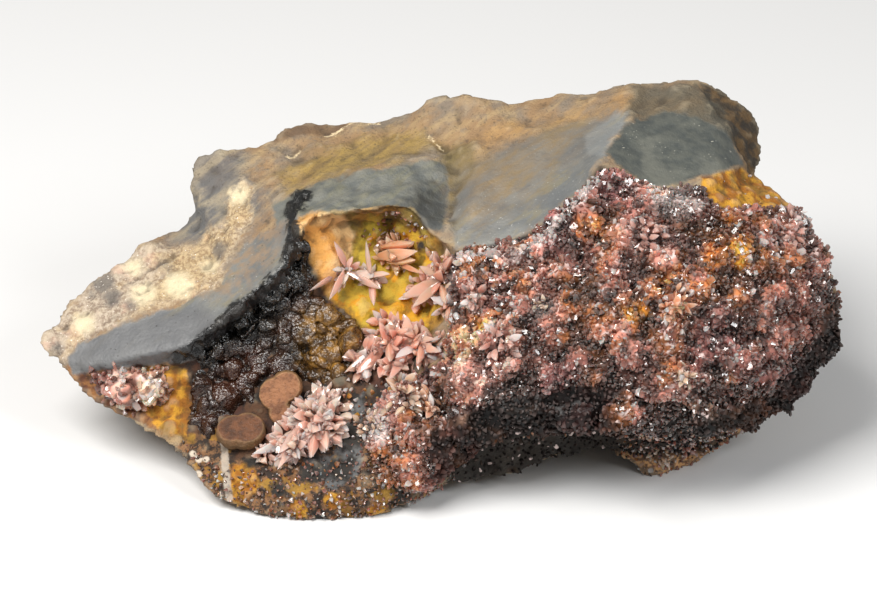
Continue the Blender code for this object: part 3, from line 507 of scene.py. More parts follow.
# %% Lay the net
SKIN_STEP = 0.36  # mm between the net's lines
ZONE_LIMIT = 6.0  # depths are kept within this many mm of a border
TURN_FADE = 12.0  # mm of depth that a zone loses as the rock turns away from the eye
ZONE_WRAP, DRUSE_WRAP = 3.0, 0.6  # mm of depth that are left where the rock is seen edge on
FAR = 9.0  # mm: further off than any line can matter

skin_mesh = remeshed("matrix_rock", SKIN_STEP)
skin_points, skin_normals = corners_of(skin_mesh), normals_of(skin_mesh)
skin_flat = drawn(skin_points)
facing = skin_normals @ np.array(TOWARDS_EYE)
front_share = ramp(facing, -0.1, 0.3)


def skin_depth(outline, wrap_mm):
    """Depth inside an outline at each corner of the skin, less where the rock turns away."""
    depth = np.minimum(depth_inside(skin_flat, outline), facing * TURN_FADE + wrap_mm)
    return np.clip(depth, -ZONE_LIMIT, ZONE_LIMIT)


zone_depth = {zone: skin_depth(outline, ZONE_WRAP) for zone, outline in ZONES.items()}
print("skin:", len(skin_mesh.polygons), "faces")

# %% Move the net
BULGES = [  # across, up, half width, half height and lift, all in mm
    (-11.6, 4.8, 2.4, 3.8, 1.1), (-7.5, -1.0, 1.2, 1.2, 0.9), (-8.6, 6.6, 1.2, 1.8, 0.7),
    (-6.4, 7.4, 1.0, 1.6, 0.6), (-3.4, 7.6, 1.3, 1.2, 0.7), (-4.4, -1.6, 1.6, 1.5, 0.5),
    (-9.6, -1.8, 1.4, 1.3, 0.6), (-10.6, -5.2, 1.8, 1.6, 0.9), (-8.2, -5.0, 1.3, 1.3, 0.8),
    (-12.8, -3.6, 1.7, 1.6, 0.8), (-9.6, -7.9, 1.5, 1.2, 0.7), (-27.2, -8.4, 1.2, 1.0, 0.7),
    (-26.6, -10.6, 1.1, 1.2, 0.7), (-28.2, -7.2, 1.0, 0.8, 0.5), (-26.8, -12.8, 1.0, 1.1, 0.6),
    (-23.4, -9.6, 1.3, 1.8, 0.5), (-22.2, -12.8, 1.2, 1.8, 0.5),
]


def share_of(*zones):
    """1 inside any of the zones, 0 outside, over half a millimetre."""
    return np.max([ramp(zone_depth[z], -0.25, 0.25) for z in zones], axis=0)


smooth_break = share_of("blade", "grey_face", "dark_face", "vein")
lumpy = share_of("hollow", "slope", "ochre_left", "rusty_left", "ochre_patch", "ochre_low")
grainy = share_of("base", "foot") * (1 - smooth_break)
worn = (1 - smooth_break) * (1 - lumpy)
skin_lift = worn * (0.20 * crags(skin_points, 4.2) + 0.10 * crags(skin_points, 1.6, 1.0)
                    + 0.30 * lumps(skin_points, 2.4, 2.5) + 0.14 * lumps(skin_points, 1.2, 3.0)
                    + 0.09 * lumps(skin_points, 0.8, 4.0))
skin_lift += smooth_break * (0.05 * lumps(skin_points, 1.8, 5.0) + 0.10 * crags(skin_points, 7.0, 6.0))
skin_lift += share_of("dark_face") * 0.09 * lumps(skin_points, 0.8, 6.5)
skin_lift += share_of("pale") * (0.20 * lumps(skin_points, 0.6, 7.0) + 0.30 * lumps(skin_points, 2.0, 8.0))
skin_lift += lumpy * (0.60 * (blisters(skin_points, 1.7, 2.0) - 0.6) + 0.12 * lumps(skin_points, 0.7, 9.0))
skin_lift += grainy * (0.16 * lumps(skin_points, 0.7, 10.0) + 0.25 * lumps(skin_points, 2.2, 11.0))
skin_lift += share_of("right_lobe") * 0.35 * lumps(skin_points, 1.7, 12.0)
skin_lift += share_of("recess") * 0.45 * crags(skin_points, 1.8, 18.0)
for across, up, half_width, half_height, lift in BULGES:
    away = ((skin_flat - (across, up)) / (half_width, half_height)) ** 2
    skin_lift += lift * np.maximum(1 - away.sum(axis=1), 0) * front_share
for line, half_width, lift in RIDGES:
    skin_lift += lift * ramp(away_from_lines(skin_flat, [line]), half_width, 0) * front_share
lip_share = ramp(away_from_lines(skin_flat, LIP_EDGE), 1.1, 0.2) * front_share
skin_lift += lip_share * (0.25 + 0.7 * crags(skin_points, 1.6, 17.0))
skin_points += skin_normals * skin_lift[:, None] * MM
skin_points[:, 2] = np.maximum(skin_points[:, 2], 0)
move_corners(skin_mesh, skin_points)
skin_normals = normals_of(skin_mesh)
for zone, depth in zone_depth.items():
    keep_values(skin_mesh, zone, depth)
for group, spots in SPOTS.items():
    depth = np.max([radius - np.hypot(*(skin_flat - (across, up)).T) for across, up, radius in spots],
                   axis=0)
    keep_values(skin_mesh, group, np.clip(depth - FAR * (facing < 0), -ZONE_LIMIT, ZONE_LIMIT))
keep_values(skin_mesh, "under_druse", skin_depth(DRUSE, DRUSE_WRAP))
keep_values(skin_mesh, "facing", facing)
keep_values(skin_mesh, "hump", humps(skin_mesh, skin_points, skin_normals, rounds=6))
for name, lines in (("streak", WHITE_STREAKS), ("seam", PALE_SEAM), ("lip", LIP_EDGE)):
    away = away_from_lines(skin_flat, lines) + FAR * (facing < -0.3)
    keep_values(skin_mesh, name, np.minimum(away, FAR))
keep_values(skin_mesh, "outer", np.ones(len(skin_points)))
print(f"moved by {skin_lift.min():.2f} to {skin_lift.max():.2f} mm")

# %% [markdown]
# ## The rock's finish
#
# One material covers the whole stone, because the real borders run into each other. It starts as the
# brown weathered crust and lays the other minerals over it in turn, each through a mask made of its
# zone's depth plus noise. Hollows of the relief are darkened at the end, as painted shade.

# %% Brown, olive and ochre: the weathered top
rock = Finish("rock", Roughness=0.8, IOR=1.5)
broad, medium, fine = rock.cloud(5.0), rock.cloud(1.4), rock.cloud(0.35, 4.0, 0.7)
streaks = rock.cloud(1.1, 4.0, 0.6, 0.3, rock.stretched(38, 4.0))
wander = (rock.cloud(0.9, 4.0, 0.7) - 0.5) + (rock.cloud(2.6, 2.0) - 0.5)


def zone_mask(name, ragged_mm, edge_mm=0.25):
    """1 inside a zone, with a border that wanders by ragged_mm."""
    return rock.step(rock.attribute(name) + wander * (2 * ragged_mm), -edge_mm, edge_mm)


def zoned(tone, *coats):
    """Lays coats over a tone, each in one zone: its name, ragged and edge mm, strength, colour."""
    for name, ragged_mm, edge_mm, strength, paint_or_wire in coats:
        tone = rock.mix(zone_mask(name, ragged_mm, edge_mm) * strength, tone, paint_or_wire)
    return tone


colour = rock.grade(broad, 0.38, 0.62, (142, 114, 82), (124, 111, 96),
    (streaks, 0.45, 0.68, 0.6, (170, 145, 106)), (streaks, 0.36, 0.22, 0.5, (88, 80, 70)),
    (medium, 0.56, 0.74, 0.5, (112, 108, 100)))
shoulder = rock.grade(streaks, 0.4, 0.62, (88, 91, 94), (136, 128, 112))
colour = zoned(colour, ("shoulder", 1.2, 1.2, 0.8, shoulder))
olive = rock.grade(streaks, 0.35, 0.65, (112, 92, 52), (147, 120, 56))
colour = zoned(colour, ("olive_top", 1.6, 1.4, 0.8, olive))
ochre_brown = rock.grade(streaks, 0.35, 0.65, (150, 116, 74), (192, 146, 84))
colour = zoned(colour,
    ("ochre_top", 1.2, 1.0, 0.8, ochre_brown), ("gully", 0.8, 0.7, 0.8, (110, 94, 50)),
    ("slab", 0.3, 0.25, 0.8, (98, 74, 52)))
lobe = rock.grade(medium, 0.4, 0.62, (36, 29, 20), (84, 62, 32))
colour = zoned(colour,
    ("right_lobe", 0.8, 0.6, 0.95, lobe), ("dark_ridge", 0.8, 0.8, 0.85, (80, 77, 66)))
colour = rock.coated(colour,
    (rock.cloud(0.3, 2.0), 0.60, 0.70, 0.5, (66, 58, 46)),
    (rock.cloud(0.7, 3.0, 0.6), 0.58, 0.72, 0.35, (84, 74, 56)))
streak_line = rock.step(rock.attribute("streak") + (fine - 0.5) * 0.8, 0.16, 0.04)
colour = rock.mix(streak_line * 0.9, colour, (226, 204, 164))

# %% [markdown]
# The pale wing is a sugary mix of quartz and carbonate grains, so it gets three sizes of spots: pink
# white grains, broad yellow stains, and a few dark holes.

# %% Pale wing
grains = rock.step(rock.cloud(0.42, 3.0, 0.7), 0.38, 0.62)
sugar = rock.mix(grains, (132, 114, 97), (180, 165, 146))
sugar = rock.coated(sugar,
    (rock.cloud(1.7, 3.0), 0.50, 0.62, 0.6, (186, 169, 149)),
    (rock.cloud(2.6, 3.0), 0.54, 0.66, 0.5, (196, 160, 140)))
stain = zone_mask("wing_yellow", 1.6, 1.4).largest(rock.step(rock.cloud(3.0), 0.50, 0.66) * 0.6)
sugar = rock.mix(stain * 0.6, sugar, rock.mix(grains, (144, 116, 74), (190, 162, 110)))
sugar = rock.coated(sugar, (rock.cloud(1.9, 5.0, 0.7, 0.6), 0.56, 0.66, 0.6, (138, 124, 110)))
sugar = zoned(sugar, ("cream_spots", 0.6, 0.6, 0.8, (216, 202, 168)),
              ("dark_spots", 0.6, 0.5, 0.8, (92, 88, 84)))
sugar = rock.coated(sugar,
    (rock.cloud(0.7, 5.0, 0.75, 0.8), 0.66, 0.74, 0.8, (92, 82, 76)),
    (rock.cloud(0.2, 1.0), 0.70, 0.76, 0.8, (240, 232, 222)))
colour = zoned(colour, ("pale", 1.1, 0.5, 1, sugar))

# %% Hollow, slope and base
cave = rock.grade(medium, 0.42, 0.58, (98, 70, 30), (150, 112, 48),
    (broad, 0.46, 0.6, 0.7, (120, 106, 52)))
colour = zoned(colour, ("hollow", 0.3, 0.25, 1, cave))
slope = rock.grade(medium, 0.4, 0.62, (30, 24, 20), (84, 56, 36),
    (broad, 0.5, 0.62, 0.8, (82, 48, 36)))
colour = zoned(colour, ("slope", 0.5, 0.25, 1, slope))
yellow = rock.grade(broad, 0.36, 0.64, (202, 148, 28), (190, 166, 58),
    (medium, 0.52, 0.66, 0.7, (212, 138, 12)), (rock.cloud(2.4), 0.56, 0.70, 0.7, (160, 146, 66)),
    (fine, 0.58, 0.74, 0.4, (150, 104, 30)))
colour = zoned(colour, ("yellow", 0.8, 0.6, 1, yellow))
tan = rock.grade(broad, 0.4, 0.6, (206, 148, 74), (220, 184, 130),
    (medium, 0.54, 0.68, 0.5, (176, 122, 60)), (fine, 0.56, 0.72, 0.4, (126, 86, 44)))
colour = zoned(colour, ("pillar", 0.6, 0.4, 1, tan))
ochre = rock.grade(medium, 0.4, 0.6, (146, 90, 16), (196, 142, 40),
    (rock.cloud(2.0), 0.52, 0.66, 0.6, (118, 98, 44)), (fine, 0.52, 0.72, 0.6, (84, 54, 20)))
rust = rock.grade(medium, 0.4, 0.6, (88, 52, 34), (142, 96, 52))
ground = rock.grade(rock.cloud(0.8, 4.0, 0.7), 0.44, 0.6, (46, 35, 28), (128, 92, 60),
    (rock.cloud(2.0), 0.54, 0.62, 0.85, ochre))
colour = zoned(colour, ("base", 0.5, 0.25, 1, ground))
foot = rock.grade(rock.cloud(0.9, 4.0, 0.7), 0.44, 0.58, (100, 76, 58), (204, 154, 104))
colour = zoned(colour,
    ("foot", 0.6, 0.25, 1, foot), ("rusty_left", 0.6, 0.25, 1, rust),
    ("ochre_left", 0.6, 0.25, 1, ochre), ("ochre_low", 0.4, 0.25, 1, ochre),
    ("ochre_patch", 0.4, 0.25, 1, ochre), ("ochre_spots", 0.4, 0.25, 1, ochre))

# %% [markdown]
# Fresh breaks show what the ore is inside: dense slate-grey manganese oxide. They are smooth enough to
# have a dull shine, so their mask also lowers the roughness.

# %% Grey breaks
grey = rock.grade(broad, 0.38, 0.62, (98, 100, 100), (116, 116, 112),
    (streaks, 0.50, 0.68, 0.5, (128, 118, 88)), (medium, 0.54, 0.68, 0.4, (90, 92, 94)),
    (fine, 0.60, 0.72, 0.5, (78, 78, 78)), (rock.cloud(0.22, 1.0), 0.71, 0.77, 0.7, (186, 186, 180)))
stained = rock.mix(rock.step(streaks, 0.25, 0.7) * 0.6 + 0.2, grey, (126, 104, 72))
# The dark face is partly its own coarser, darker grey and partly painted shade.
dark_grey = rock.grade(medium, 0.3, 0.7, (66, 70, 68), (84, 86, 80),
    (broad, 0.5, 0.66, 0.5, (112, 112, 102)))
# Painted glints: pale specks mixed into the dark face's colour.
glints = rock.step(rock.cloud(0.24, 1.0), 0.70, 0.75) * rock.step(rock.cloud(3.0), 0.50, 0.60)
dark_grey = rock.mix(glints, dark_grey, (186, 182, 168))
band_tone = rock.grade(medium, 0.3, 0.7, (84, 87, 85), (110, 110, 102),
    (streaks, 0.45, 0.68, 0.35, (128, 122, 88)), (fine, 0.5, 0.7, 0.35, (74, 76, 76)))
# The band's end is painted darker, as shade.
band_tone = zoned(band_tone, ("band_end", 1.2, 1.2, 0.85, (54, 55, 54)))
band_cover = zone_mask("band", 0.4)
grey = zoned(grey, ("slate", 0.5, 0.8, 0.9, rock.mix(medium, (80, 81, 84), (106, 106, 106))))
brown_share = zone_mask("brown_blade", 1.2, 1.2) * rock.step(rock.cloud(1.6, 4.0), 0.36, 0.60)
grey = rock.mix(brown_share * 0.75, grey, (142, 118, 92))
grey_cover = zone_mask("blade", 0.4, 0.25).largest(zone_mask("grey_face", 0.6, 0.5))
dark_cover = zone_mask("dark_face", 0.35)
colour = rock.mix(band_cover, colour, band_tone)
colour = rock.mix(grey_cover, colour, grey)
# The chip is painted a lighter grey, as a painted highlight on its facet.
colour = zoned(colour,
    ("vein", 0.6, 0.25, 1, rock.grade(medium, 0.4, 0.6, (44, 42, 40), (98, 98, 98))),
    ("face_stain", 1.8, 2.4, 1, stained), ("chip", 0.3, 0.3, 0.3, (150, 152, 150)))
colour = rock.mix(dark_cover, colour, dark_grey)
pits = rock.step(rock.cells(0.9) + (fine - 0.5) * 0.2, 0.12, 0.05) * zone_mask("blade", 0.0)
colour = rock.mix(pits * 0.8, colour, (40, 34, 30))

# %% Shade, shine and fine relief
smooth_cover = grey_cover.largest(dark_cover).largest(band_cover * 0.6)
worn_edges = rock.step(rock.attribute("hump"), 0.05, 0.2) * (1 - smooth_cover) * 0.16
colour = rock.mix(worn_edges, colour, (206, 190, 160))
lip_line = rock.step(rock.attribute("lip") + wander * 1.6, 0.95, 0.5)
colour = rock.mix(lip_line * 0.95, colour, (16, 16, 17))
# Painted shade: the recess under the stone and the rock under the druse's bed are painted nearly black.
colour = zoned(colour,
    ("recess", 0.8, 0.8, 0.95, (14, 11, 10)), ("under_druse", 0.2, 0.25, 1, (22, 14, 11)))
low_parts = zone_mask("base", 0.5).largest(zone_mask("yellow", 0.5))
colour = rock.mix(zone_mask("dark_spots", 0.5, 0.4) * low_parts, colour, (40, 36, 32))
low_specks = zone_mask("cream_spots", 0.1, 0.1) * zone_mask("base", 1.5, 1.0)
colour = rock.mix(low_specks, colour, (196, 182, 164))
seam_line = rock.step(rock.attribute("seam") + (fine - 0.5) * 0.3, 0.45, 0.25)
colour = rock.mix(seam_line * 0.8, colour, (176, 164, 150))
# Painted shade: the hollows of the relief, where the hump is below zero, are darkened.
colour = rock.coated(colour, (rock.attribute("hump"), -0.03, -0.20, 0.5, (36, 30, 26)))
rock.feed("Base Color", colour)
rock.feed("Roughness", 0.85 - smooth_cover * 0.36 - lip_line * 0.4 + (fine - 0.5) * 0.2)
rock.bump(fine * (1 - smooth_cover * 0.6) + medium * 0.6, 0.20)

rock_skin = add_piece("rock_skin", skin_mesh, rock, smooth=True)
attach(rock_skin, "root")
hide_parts("matrix_rock")
print("rock finish:", len(rock.tree.nodes), "nodes")

# %% [markdown]
# ## Crusts over the rock
#
# Goethite and the druse's bed are both crusts: they follow the rock and stand a little off it. A crust
# is cut from the skin's own net, split finer, lifted by a height that each mineral works out for
# itself, and closed underneath so that it is a solid of its own.

# %% Cut a crust from the skin
CRUST_WANDER = 0.5  # mm by which a crust's edge leaves its outline
TURNED_AWAY = -0.06  # a face that leans back by more than this is left bare
RIM_WIDTH, RIM_SINK = 0.9, 0.12  # mm over which a crust rises, and mm that its rim lies deep
CRUST_ROOT = 0.4  # mm from the rock's face down to a crust's underside


def crust(name, outline, height, finish, splits=0):
    """A closed crust over the skin inside an outline. height(points) is in mm."""
    sheet = bmesh.new()
    sheet.from_mesh(skin_mesh)
    middles = np.array([face.calc_center_median() for face in sheet.faces])
    inside = depth_inside(drawn(middles), outline) + CRUST_WANDER * lumps(middles, 1.2)
    front = sheet.verts.layers.float["facing"]
    spare = [face for face, depth in zip(sheet.faces[:], inside)
             if depth < 0 or min(corner[front] for corner in face.verts) < TURNED_AWAY]
    bmesh.ops.delete(sheet, geom=spare, context="FACES")
    for _ in range(splits):
        bmesh.ops.subdivide_edges(sheet, edges=sheet.edges, cuts=1, use_grid_fill=True)
    sheet.normal_update()
    rim_points = [corner.co.copy() for corner in sheet.verts if corner.is_boundary]
    rim = kdtree.KDTree(len(rim_points))
    for number, spot in enumerate(rim_points):
        rim.insert(spot, number)
    rim.balance()
    points = np.array([corner.co for corner in sheet.verts])
    normals = np.array([corner.normal for corner in sheet.verts])
    rim_gap = np.array([rim.find(p)[2] for p in points]) / MM
    lift = height(points) * ramp(rim_gap, 0.0, RIM_WIDTH) - RIM_SINK
    faces = [[corner.index for corner in face.verts] for face in sheet.faces]
    rims = [(e.link_loops[0].vert.index, e.link_loops[0].link_loop_next.vert.index)
            for e in sheet.edges if e.is_boundary]
    sheet.free()
    count = len(points)
    walls = [(b, a, a + count, b + count) for a, b in rims]
    bottom = [[i + count for i in reversed(face)] for face in faces]
    skins = np.vstack((points + normals * lift[:, None] * MM, points - normals * CRUST_ROOT * MM))
    skins[:, 2] = np.maximum(skins[:, 2], 0)
    mesh = bpy.data.meshes.new(name)
    mesh.from_pydata(skins.tolist(), [], faces + walls + bottom)
    keep_values(mesh, "rise", np.concatenate((lift, np.zeros(count))))
    keep_values(mesh, "outer", np.concatenate((np.ones(count), np.zeros(count))))
    piece = add_piece(name, mesh, finish, smooth=True)
    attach(piece, "root")
    print(f"{name}: {len(mesh.polygons)} faces, lifted up to {lift.max():.2f} mm")
    return piece


# %% Spots that keep their distance
def thinned(points, gap_mm):
    """Indices of points, in their order, that leave out all nearer than gap_mm to an earlier one."""
    cell, taken, chosen = gap_mm * MM, {}, []
    around = [(i, j, k) for i in (-1, 0, 1) for j in (-1, 0, 1) for k in (-1, 0, 1)]
    homes = np.floor(points / cell).astype(int).tolist()
    for index, (spot, home) in enumerate(zip(points.tolist(), homes)):
        near = (other for i, j, k in around
                for other in taken.get((home[0] + i, home[1] + j, home[2] + k), ()))
        if all(math.dist(spot, other) >= cell for other in near):
            taken.setdefault(tuple(home), []).append(spot)
            chosen.append(index)
    return chosen


def domes(points, gap_mm, least_mm, most_mm, seed):
    """Heights of round heads set gap_mm apart, each as high as part of its own ball."""
    dice = np.random.default_rng(seed)
    shuffled = points[dice.permutation(len(points))]
    middles = shuffled[thinned(shuffled, gap_mm)]
    tree = kdtree.KDTree(len(middles))
    for number, spot in enumerate(middles):
        tree.insert(spot, number)
    tree.balance()
    sizes = dice.uniform(least_mm, most_mm, len(middles))
    return np.array([max(0, *(sizes[n] - (away / MM) ** 2 / (2 * sizes[n])
                              for _, n, away in tree.find_n(spot, 3))) for spot in points])


# %% [markdown]
# ## Botryoidal goethite
#
# Goethite grows as bunches of grapes: big round heads with small ones on them, black at the lip and
# browner down the slope. Its velvety glitter is a painted highlight, pale specks in the colour; the
# creases between the heads are painted near black as shade, and the highest heads are painted a
# little lighter, as light.

# %% Goethite crust
goethite = Finish("goethite", IOR=1.6)
# The glitter is a painted highlight: pale specks in the colour, which are also made smoother.
glitter = goethite.step(goethite.cloud(0.14, 2.0), 0.60, 0.68)
tone = goethite.grade(goethite.cloud(4.0), 0.42, 0.6, (12, 10, 8), (48, 28, 18),
    (goethite.cloud(1.2), 0.5, 0.7, 0.5, (38, 30, 20)))
olive_tone = goethite.grade(goethite.cloud(0.7), 0.4, 0.66, (78, 52, 18), (142, 102, 42))
# Of these coats, the two that follow rise are painted: near black in the low creases between heads, as
# shade, and a little lighter on the highest heads, as light.
tone = goethite.coated(tone,
    (goethite.attribute("russet"), -1.0, 3.0, 0.75, (54, 24, 10)),
    (goethite.attribute("olive"), -1.6, 1.4, 0.9, olive_tone),
    (goethite.attribute("rise"), 0.7, 0.2, 0.6, (12, 9, 8)),
    (goethite.attribute("rise"), 1.2, 2.4, 0.12, (130, 98, 66)))
lip_shine = goethite.step(goethite.attribute("lip"), 3.6, 1.0)
tone = goethite.coated(tone,
    (goethite.attribute("lip") + goethite.cloud(1.6) * 3 - 1.5, 4.2, 1.4, 0.95, (20, 20, 20)))
goethite.feed("Base Color", goethite.mix(glitter * 0.30, tone, (160, 136, 108)))
goethite.feed("Roughness", 0.26 - glitter * 0.10 - lip_shine * 0.06)
goethite.bump((1 - goethite.cells(0.3)) + goethite.cloud(0.15, 2.0) * 0.5, 0.10)
OLIVE_SLOPE = pairs(-13.4, -1.4, -10.6, -0.8, -6.6, -3.2, -8, -7.6, -11.4, -9, -13.4, -6.4)


def goethite_height(points):
    big = 1.1 * domes(points, 1.8, 0.5, 1.4, 11) + 1.3 * ramp(lumps(points, 2.6, 16.0), -0.3, 0.5)
    small = 1.2 * domes(points, 0.62, 0.16, 0.5, 12)
    lip = ramp(away_from_lines(drawn(points), LIP_EDGE), 1.8, 0.2)
    crest = lip * (0.5 + 0.8 * crags(points, 1.6, 15.0))
    bunched = 0.5 + 0.5 * ramp(lumps(points, 3.0, 14.0), -0.2, 0.3)
    return 0.75 * big + small * bunched + np.maximum(crest, 0)


goethite_bunches = crust("goethite_bunches", GOETHITE, goethite_height, goethite, splits=1)
flat = drawn(corners_of(goethite_bunches.data))
keep_values(goethite_bunches.data, "olive", depth_inside(flat, OLIVE_SLOPE))
keep_values(goethite_bunches.data, "russet", -4.6 - flat[:, 1] - 0.5 * (flat[:, 0] + 17))
keep_values(goethite_bunches.data, "lip", away_from_lines(flat, LIP_EDGE))
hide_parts("goethite_crust")

# %% [markdown]
# ## The druse's bed
#
# The small crystals stand on round heads of massive rhodochrosite, like the florets of a cauliflower.
# Between the heads the bed is painted dark, as shade, and short crevices run through its lower part.

# %% Bed of the druse
CREVICES = [
    [(11.2, -10.3), (15.2, -9.4), (18.8, -7.9)], [(19.5, -13.0), (23.0, -13.4), (27.0, -13.4)],
    [(27.0, -9.6), (30.6, -8.9), (33.0, -9.4)], [(4.0, -12.0), (8.0, -12.4), (11.0, -11.8)],
]
HEAD_GAP = 2.5  # mm between the middles of the round heads
# The overhung lower edge, where the crystals are painted nearly black, as shade.
PAINTED_SHADE_EDGE = pairs(-0.8, -12.6, 3.4, -10.2, 7.6, -9.3, 11.3, -8.4, 14.6, -7.9, 19.2, -8.8, 17.9, -10.7,
    20.2, -13, 25, -12.2, 29.1, -10.4, 33, -8.8, 35.8, -6, 37.8, -3.2, 39, 0, 44, 0, 42, -12, 30, -20,
    0, -20, -1, -16)

bed_finish = Finish("druse_bed", Roughness=0.4, IOR=1.35)
bed_finish.feed("Base Color", bed_finish.attribute("tint", "Color"))
bed_finish.bump(bed_finish.cloud(0.4, 4.0), 0.12)


def druse_height(points):
    heads = 1.3 * blisters(points, HEAD_GAP, 21.0) + 0.4 * blisters(points, 1.1, 22.0)
    swell = 0.35 * lumps(points, 6.0, 23.0)
    cut = 1.5 * ramp(away_from_lines(drawn(points), CREVICES), 1.3, 0.2)
    pits = 1.4 * ramp(lumps(points, 2.0, 24.0), -0.22, -0.45)
    return np.maximum(heads + swell - cut - pits, 0.0) + 0.25


druse_bed = crust("druse_bed", DRUSE, druse_height, bed_finish)
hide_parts("druse_crust")
druse_bed_left = crust("druse_bed_left", DRUSE_LEFT, druse_height, bed_finish, splits=1)
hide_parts("druse_patch_left")

# %% [markdown]
# ## One crystal, many times
#
# Rhodochrosite's steep crystals have six sides that come in pairs. A few such crystals are drawn in a
# unit box and then set down thousands of times, each with its own size, turn and colour. Instances
# would be lighter, but a joined mesh can be exported and measured.

# %% Shapes of a crystal
def turned_form(rings, corners=6, uneven=0.12, bend=0.0):
    """Points and faces of a closed form. Each ring is (height, radius), and its ends are points."""
    points, faces, first = [], [], 0
    for height, radius in rings:
        for corner in range(corners if radius else 1):
            angle = 2 * math.pi * corner / corners
            reach = radius * (1 + uneven * (1 if corner % 2 else -1))
            shift = bend * 4 * height * (1 - height)
            points.append((reach * math.cos(angle) + shift, reach * math.sin(angle), height))
    for (_, lower), (_, upper) in zip(rings, rings[1:]):
        low_count, high_count = (corners if radius else 1 for radius in (lower, upper))
        for corner in range(corners):
            after = corner + 1
            ring = (first + corner % low_count, first + after % corners % low_count,
                    first + low_count + after % corners % high_count,
                    first + low_count + corner % high_count)
            faces.append(tuple(dict.fromkeys(ring)))
        first += low_count
    return np.array(points), faces


GRAINS = [
    turned_form([(0, 0), (0.25, 0.46), (0.78, 0.38), (1, 0)]),
    turned_form([(0, 0), (0.3, 0.5), (0.88, 0.42), (1, 0)], uneven=0.25),
    turned_form([(0, 0), (0.2, 0.42), (0.9, 0.34), (1, 0)], uneven=0.3, bend=0.05),
]
LENS_RINGS = [(0, 0), (0.08, 0.26), (0.36, 0.5), (0.62, 0.45), (0.86, 0.22), (1, 0)]
LENSES = [turned_form(LENS_RINGS, uneven=uneven, bend=bend)
          for uneven, bend in ((0.14, 0.0), (0.22, 0.05), (0.28, -0.04))]
print("corners in a grain and a lens:", len(GRAINS[0][0]), len(LENSES[0][0]))

# %% Set crystals down
def grow(name, forms, seeds, finish, tip_frost=0.25):
    """Sets down a crystal for each seed: (foot, direction, length_mm, width_mm, colour)."""
    rows = np.array([(*foot, *way, length, width, *colour[:3])
                     for foot, way, length, width, colour in seeds], float)
    dice = np.random.default_rng(len(rows))
    kinds = dice.integers(len(forms), size=len(rows))
    points, faces, tints, count = [], [], [], 0
    for kind, (form_points, form_faces) in enumerate(forms):
        mine = rows[kinds == kind]
        along = mine[:, 3:6] / np.linalg.norm(mine[:, 3:6], axis=1, keepdims=True)
        side = np.cross(along, dice.normal(size=along.shape))
        side /= np.linalg.norm(side, axis=1, keepdims=True)
        flat_share = dice.uniform(0.55, 1.0, (len(mine), 1))
        axes = np.stack((side * mine[:, 7:8], np.cross(along, side) * mine[:, 7:8] * flat_share,
                         along * mine[:, 6:7]), axis=1) * MM
        placed = np.einsum("kj,njx->nkx", form_points, axes) + mine[:, None, 0:3]
        placed[:, :, 2] -= np.minimum(placed[:, :, 2].min(axis=1), 0)[:, None]
        shifts = count + np.arange(len(mine))[:, None] * len(form_points)
        for face in form_faces:
            faces += (shifts + np.array(face)).tolist()
        height = form_points[None, :, 2:3]
        # Each crystal is made darker towards its foot, partly as painted shade where it meets what it
        # stands on and partly as colour zoning.
        body = mine[:, None, 8:11] * (0.82 + 0.18 * height)
        tints.append((body + (np.array(FROST[:3]) - body) * tip_frost * height ** 3).reshape(-1, 3))
        points.append(placed.reshape(-1, 3))
        count += placed.shape[0] * placed.shape[1]
    mesh = bpy.data.meshes.new(name)
    mesh.from_pydata(np.vstack(points).tolist(), [], faces)
    keep_colours(mesh, np.vstack(tints))
    piece = add_piece(name, mesh, finish)
    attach(piece, "root")
    print(f"{name}: {len(seeds)} crystals, {len(mesh.polygons)} faces")
    return piece


# %% [markdown]
# ## Colours of the druse
#
# The druse isn't one pink. It runs from salmon at the hollow through mauve brown to nearly black in
# the shade, with rusty patches where limonite lies under clear crystals, and frost white along the
# lip. Patches of colour are listed, and noise decides which one a crystal takes at a border.

# %% Patches of colour
SALMON, ROSE, MAUVE = paint(226, 144, 108), paint(212, 148, 134), paint(152, 100, 88)
PLUM, RUST, FROST = paint(108, 68, 68), paint(180, 106, 42), paint(242, 220, 214)
HONEY, SMOKE, UMBER = paint(206, 132, 34), paint(62, 52, 46), paint(138, 84, 48)
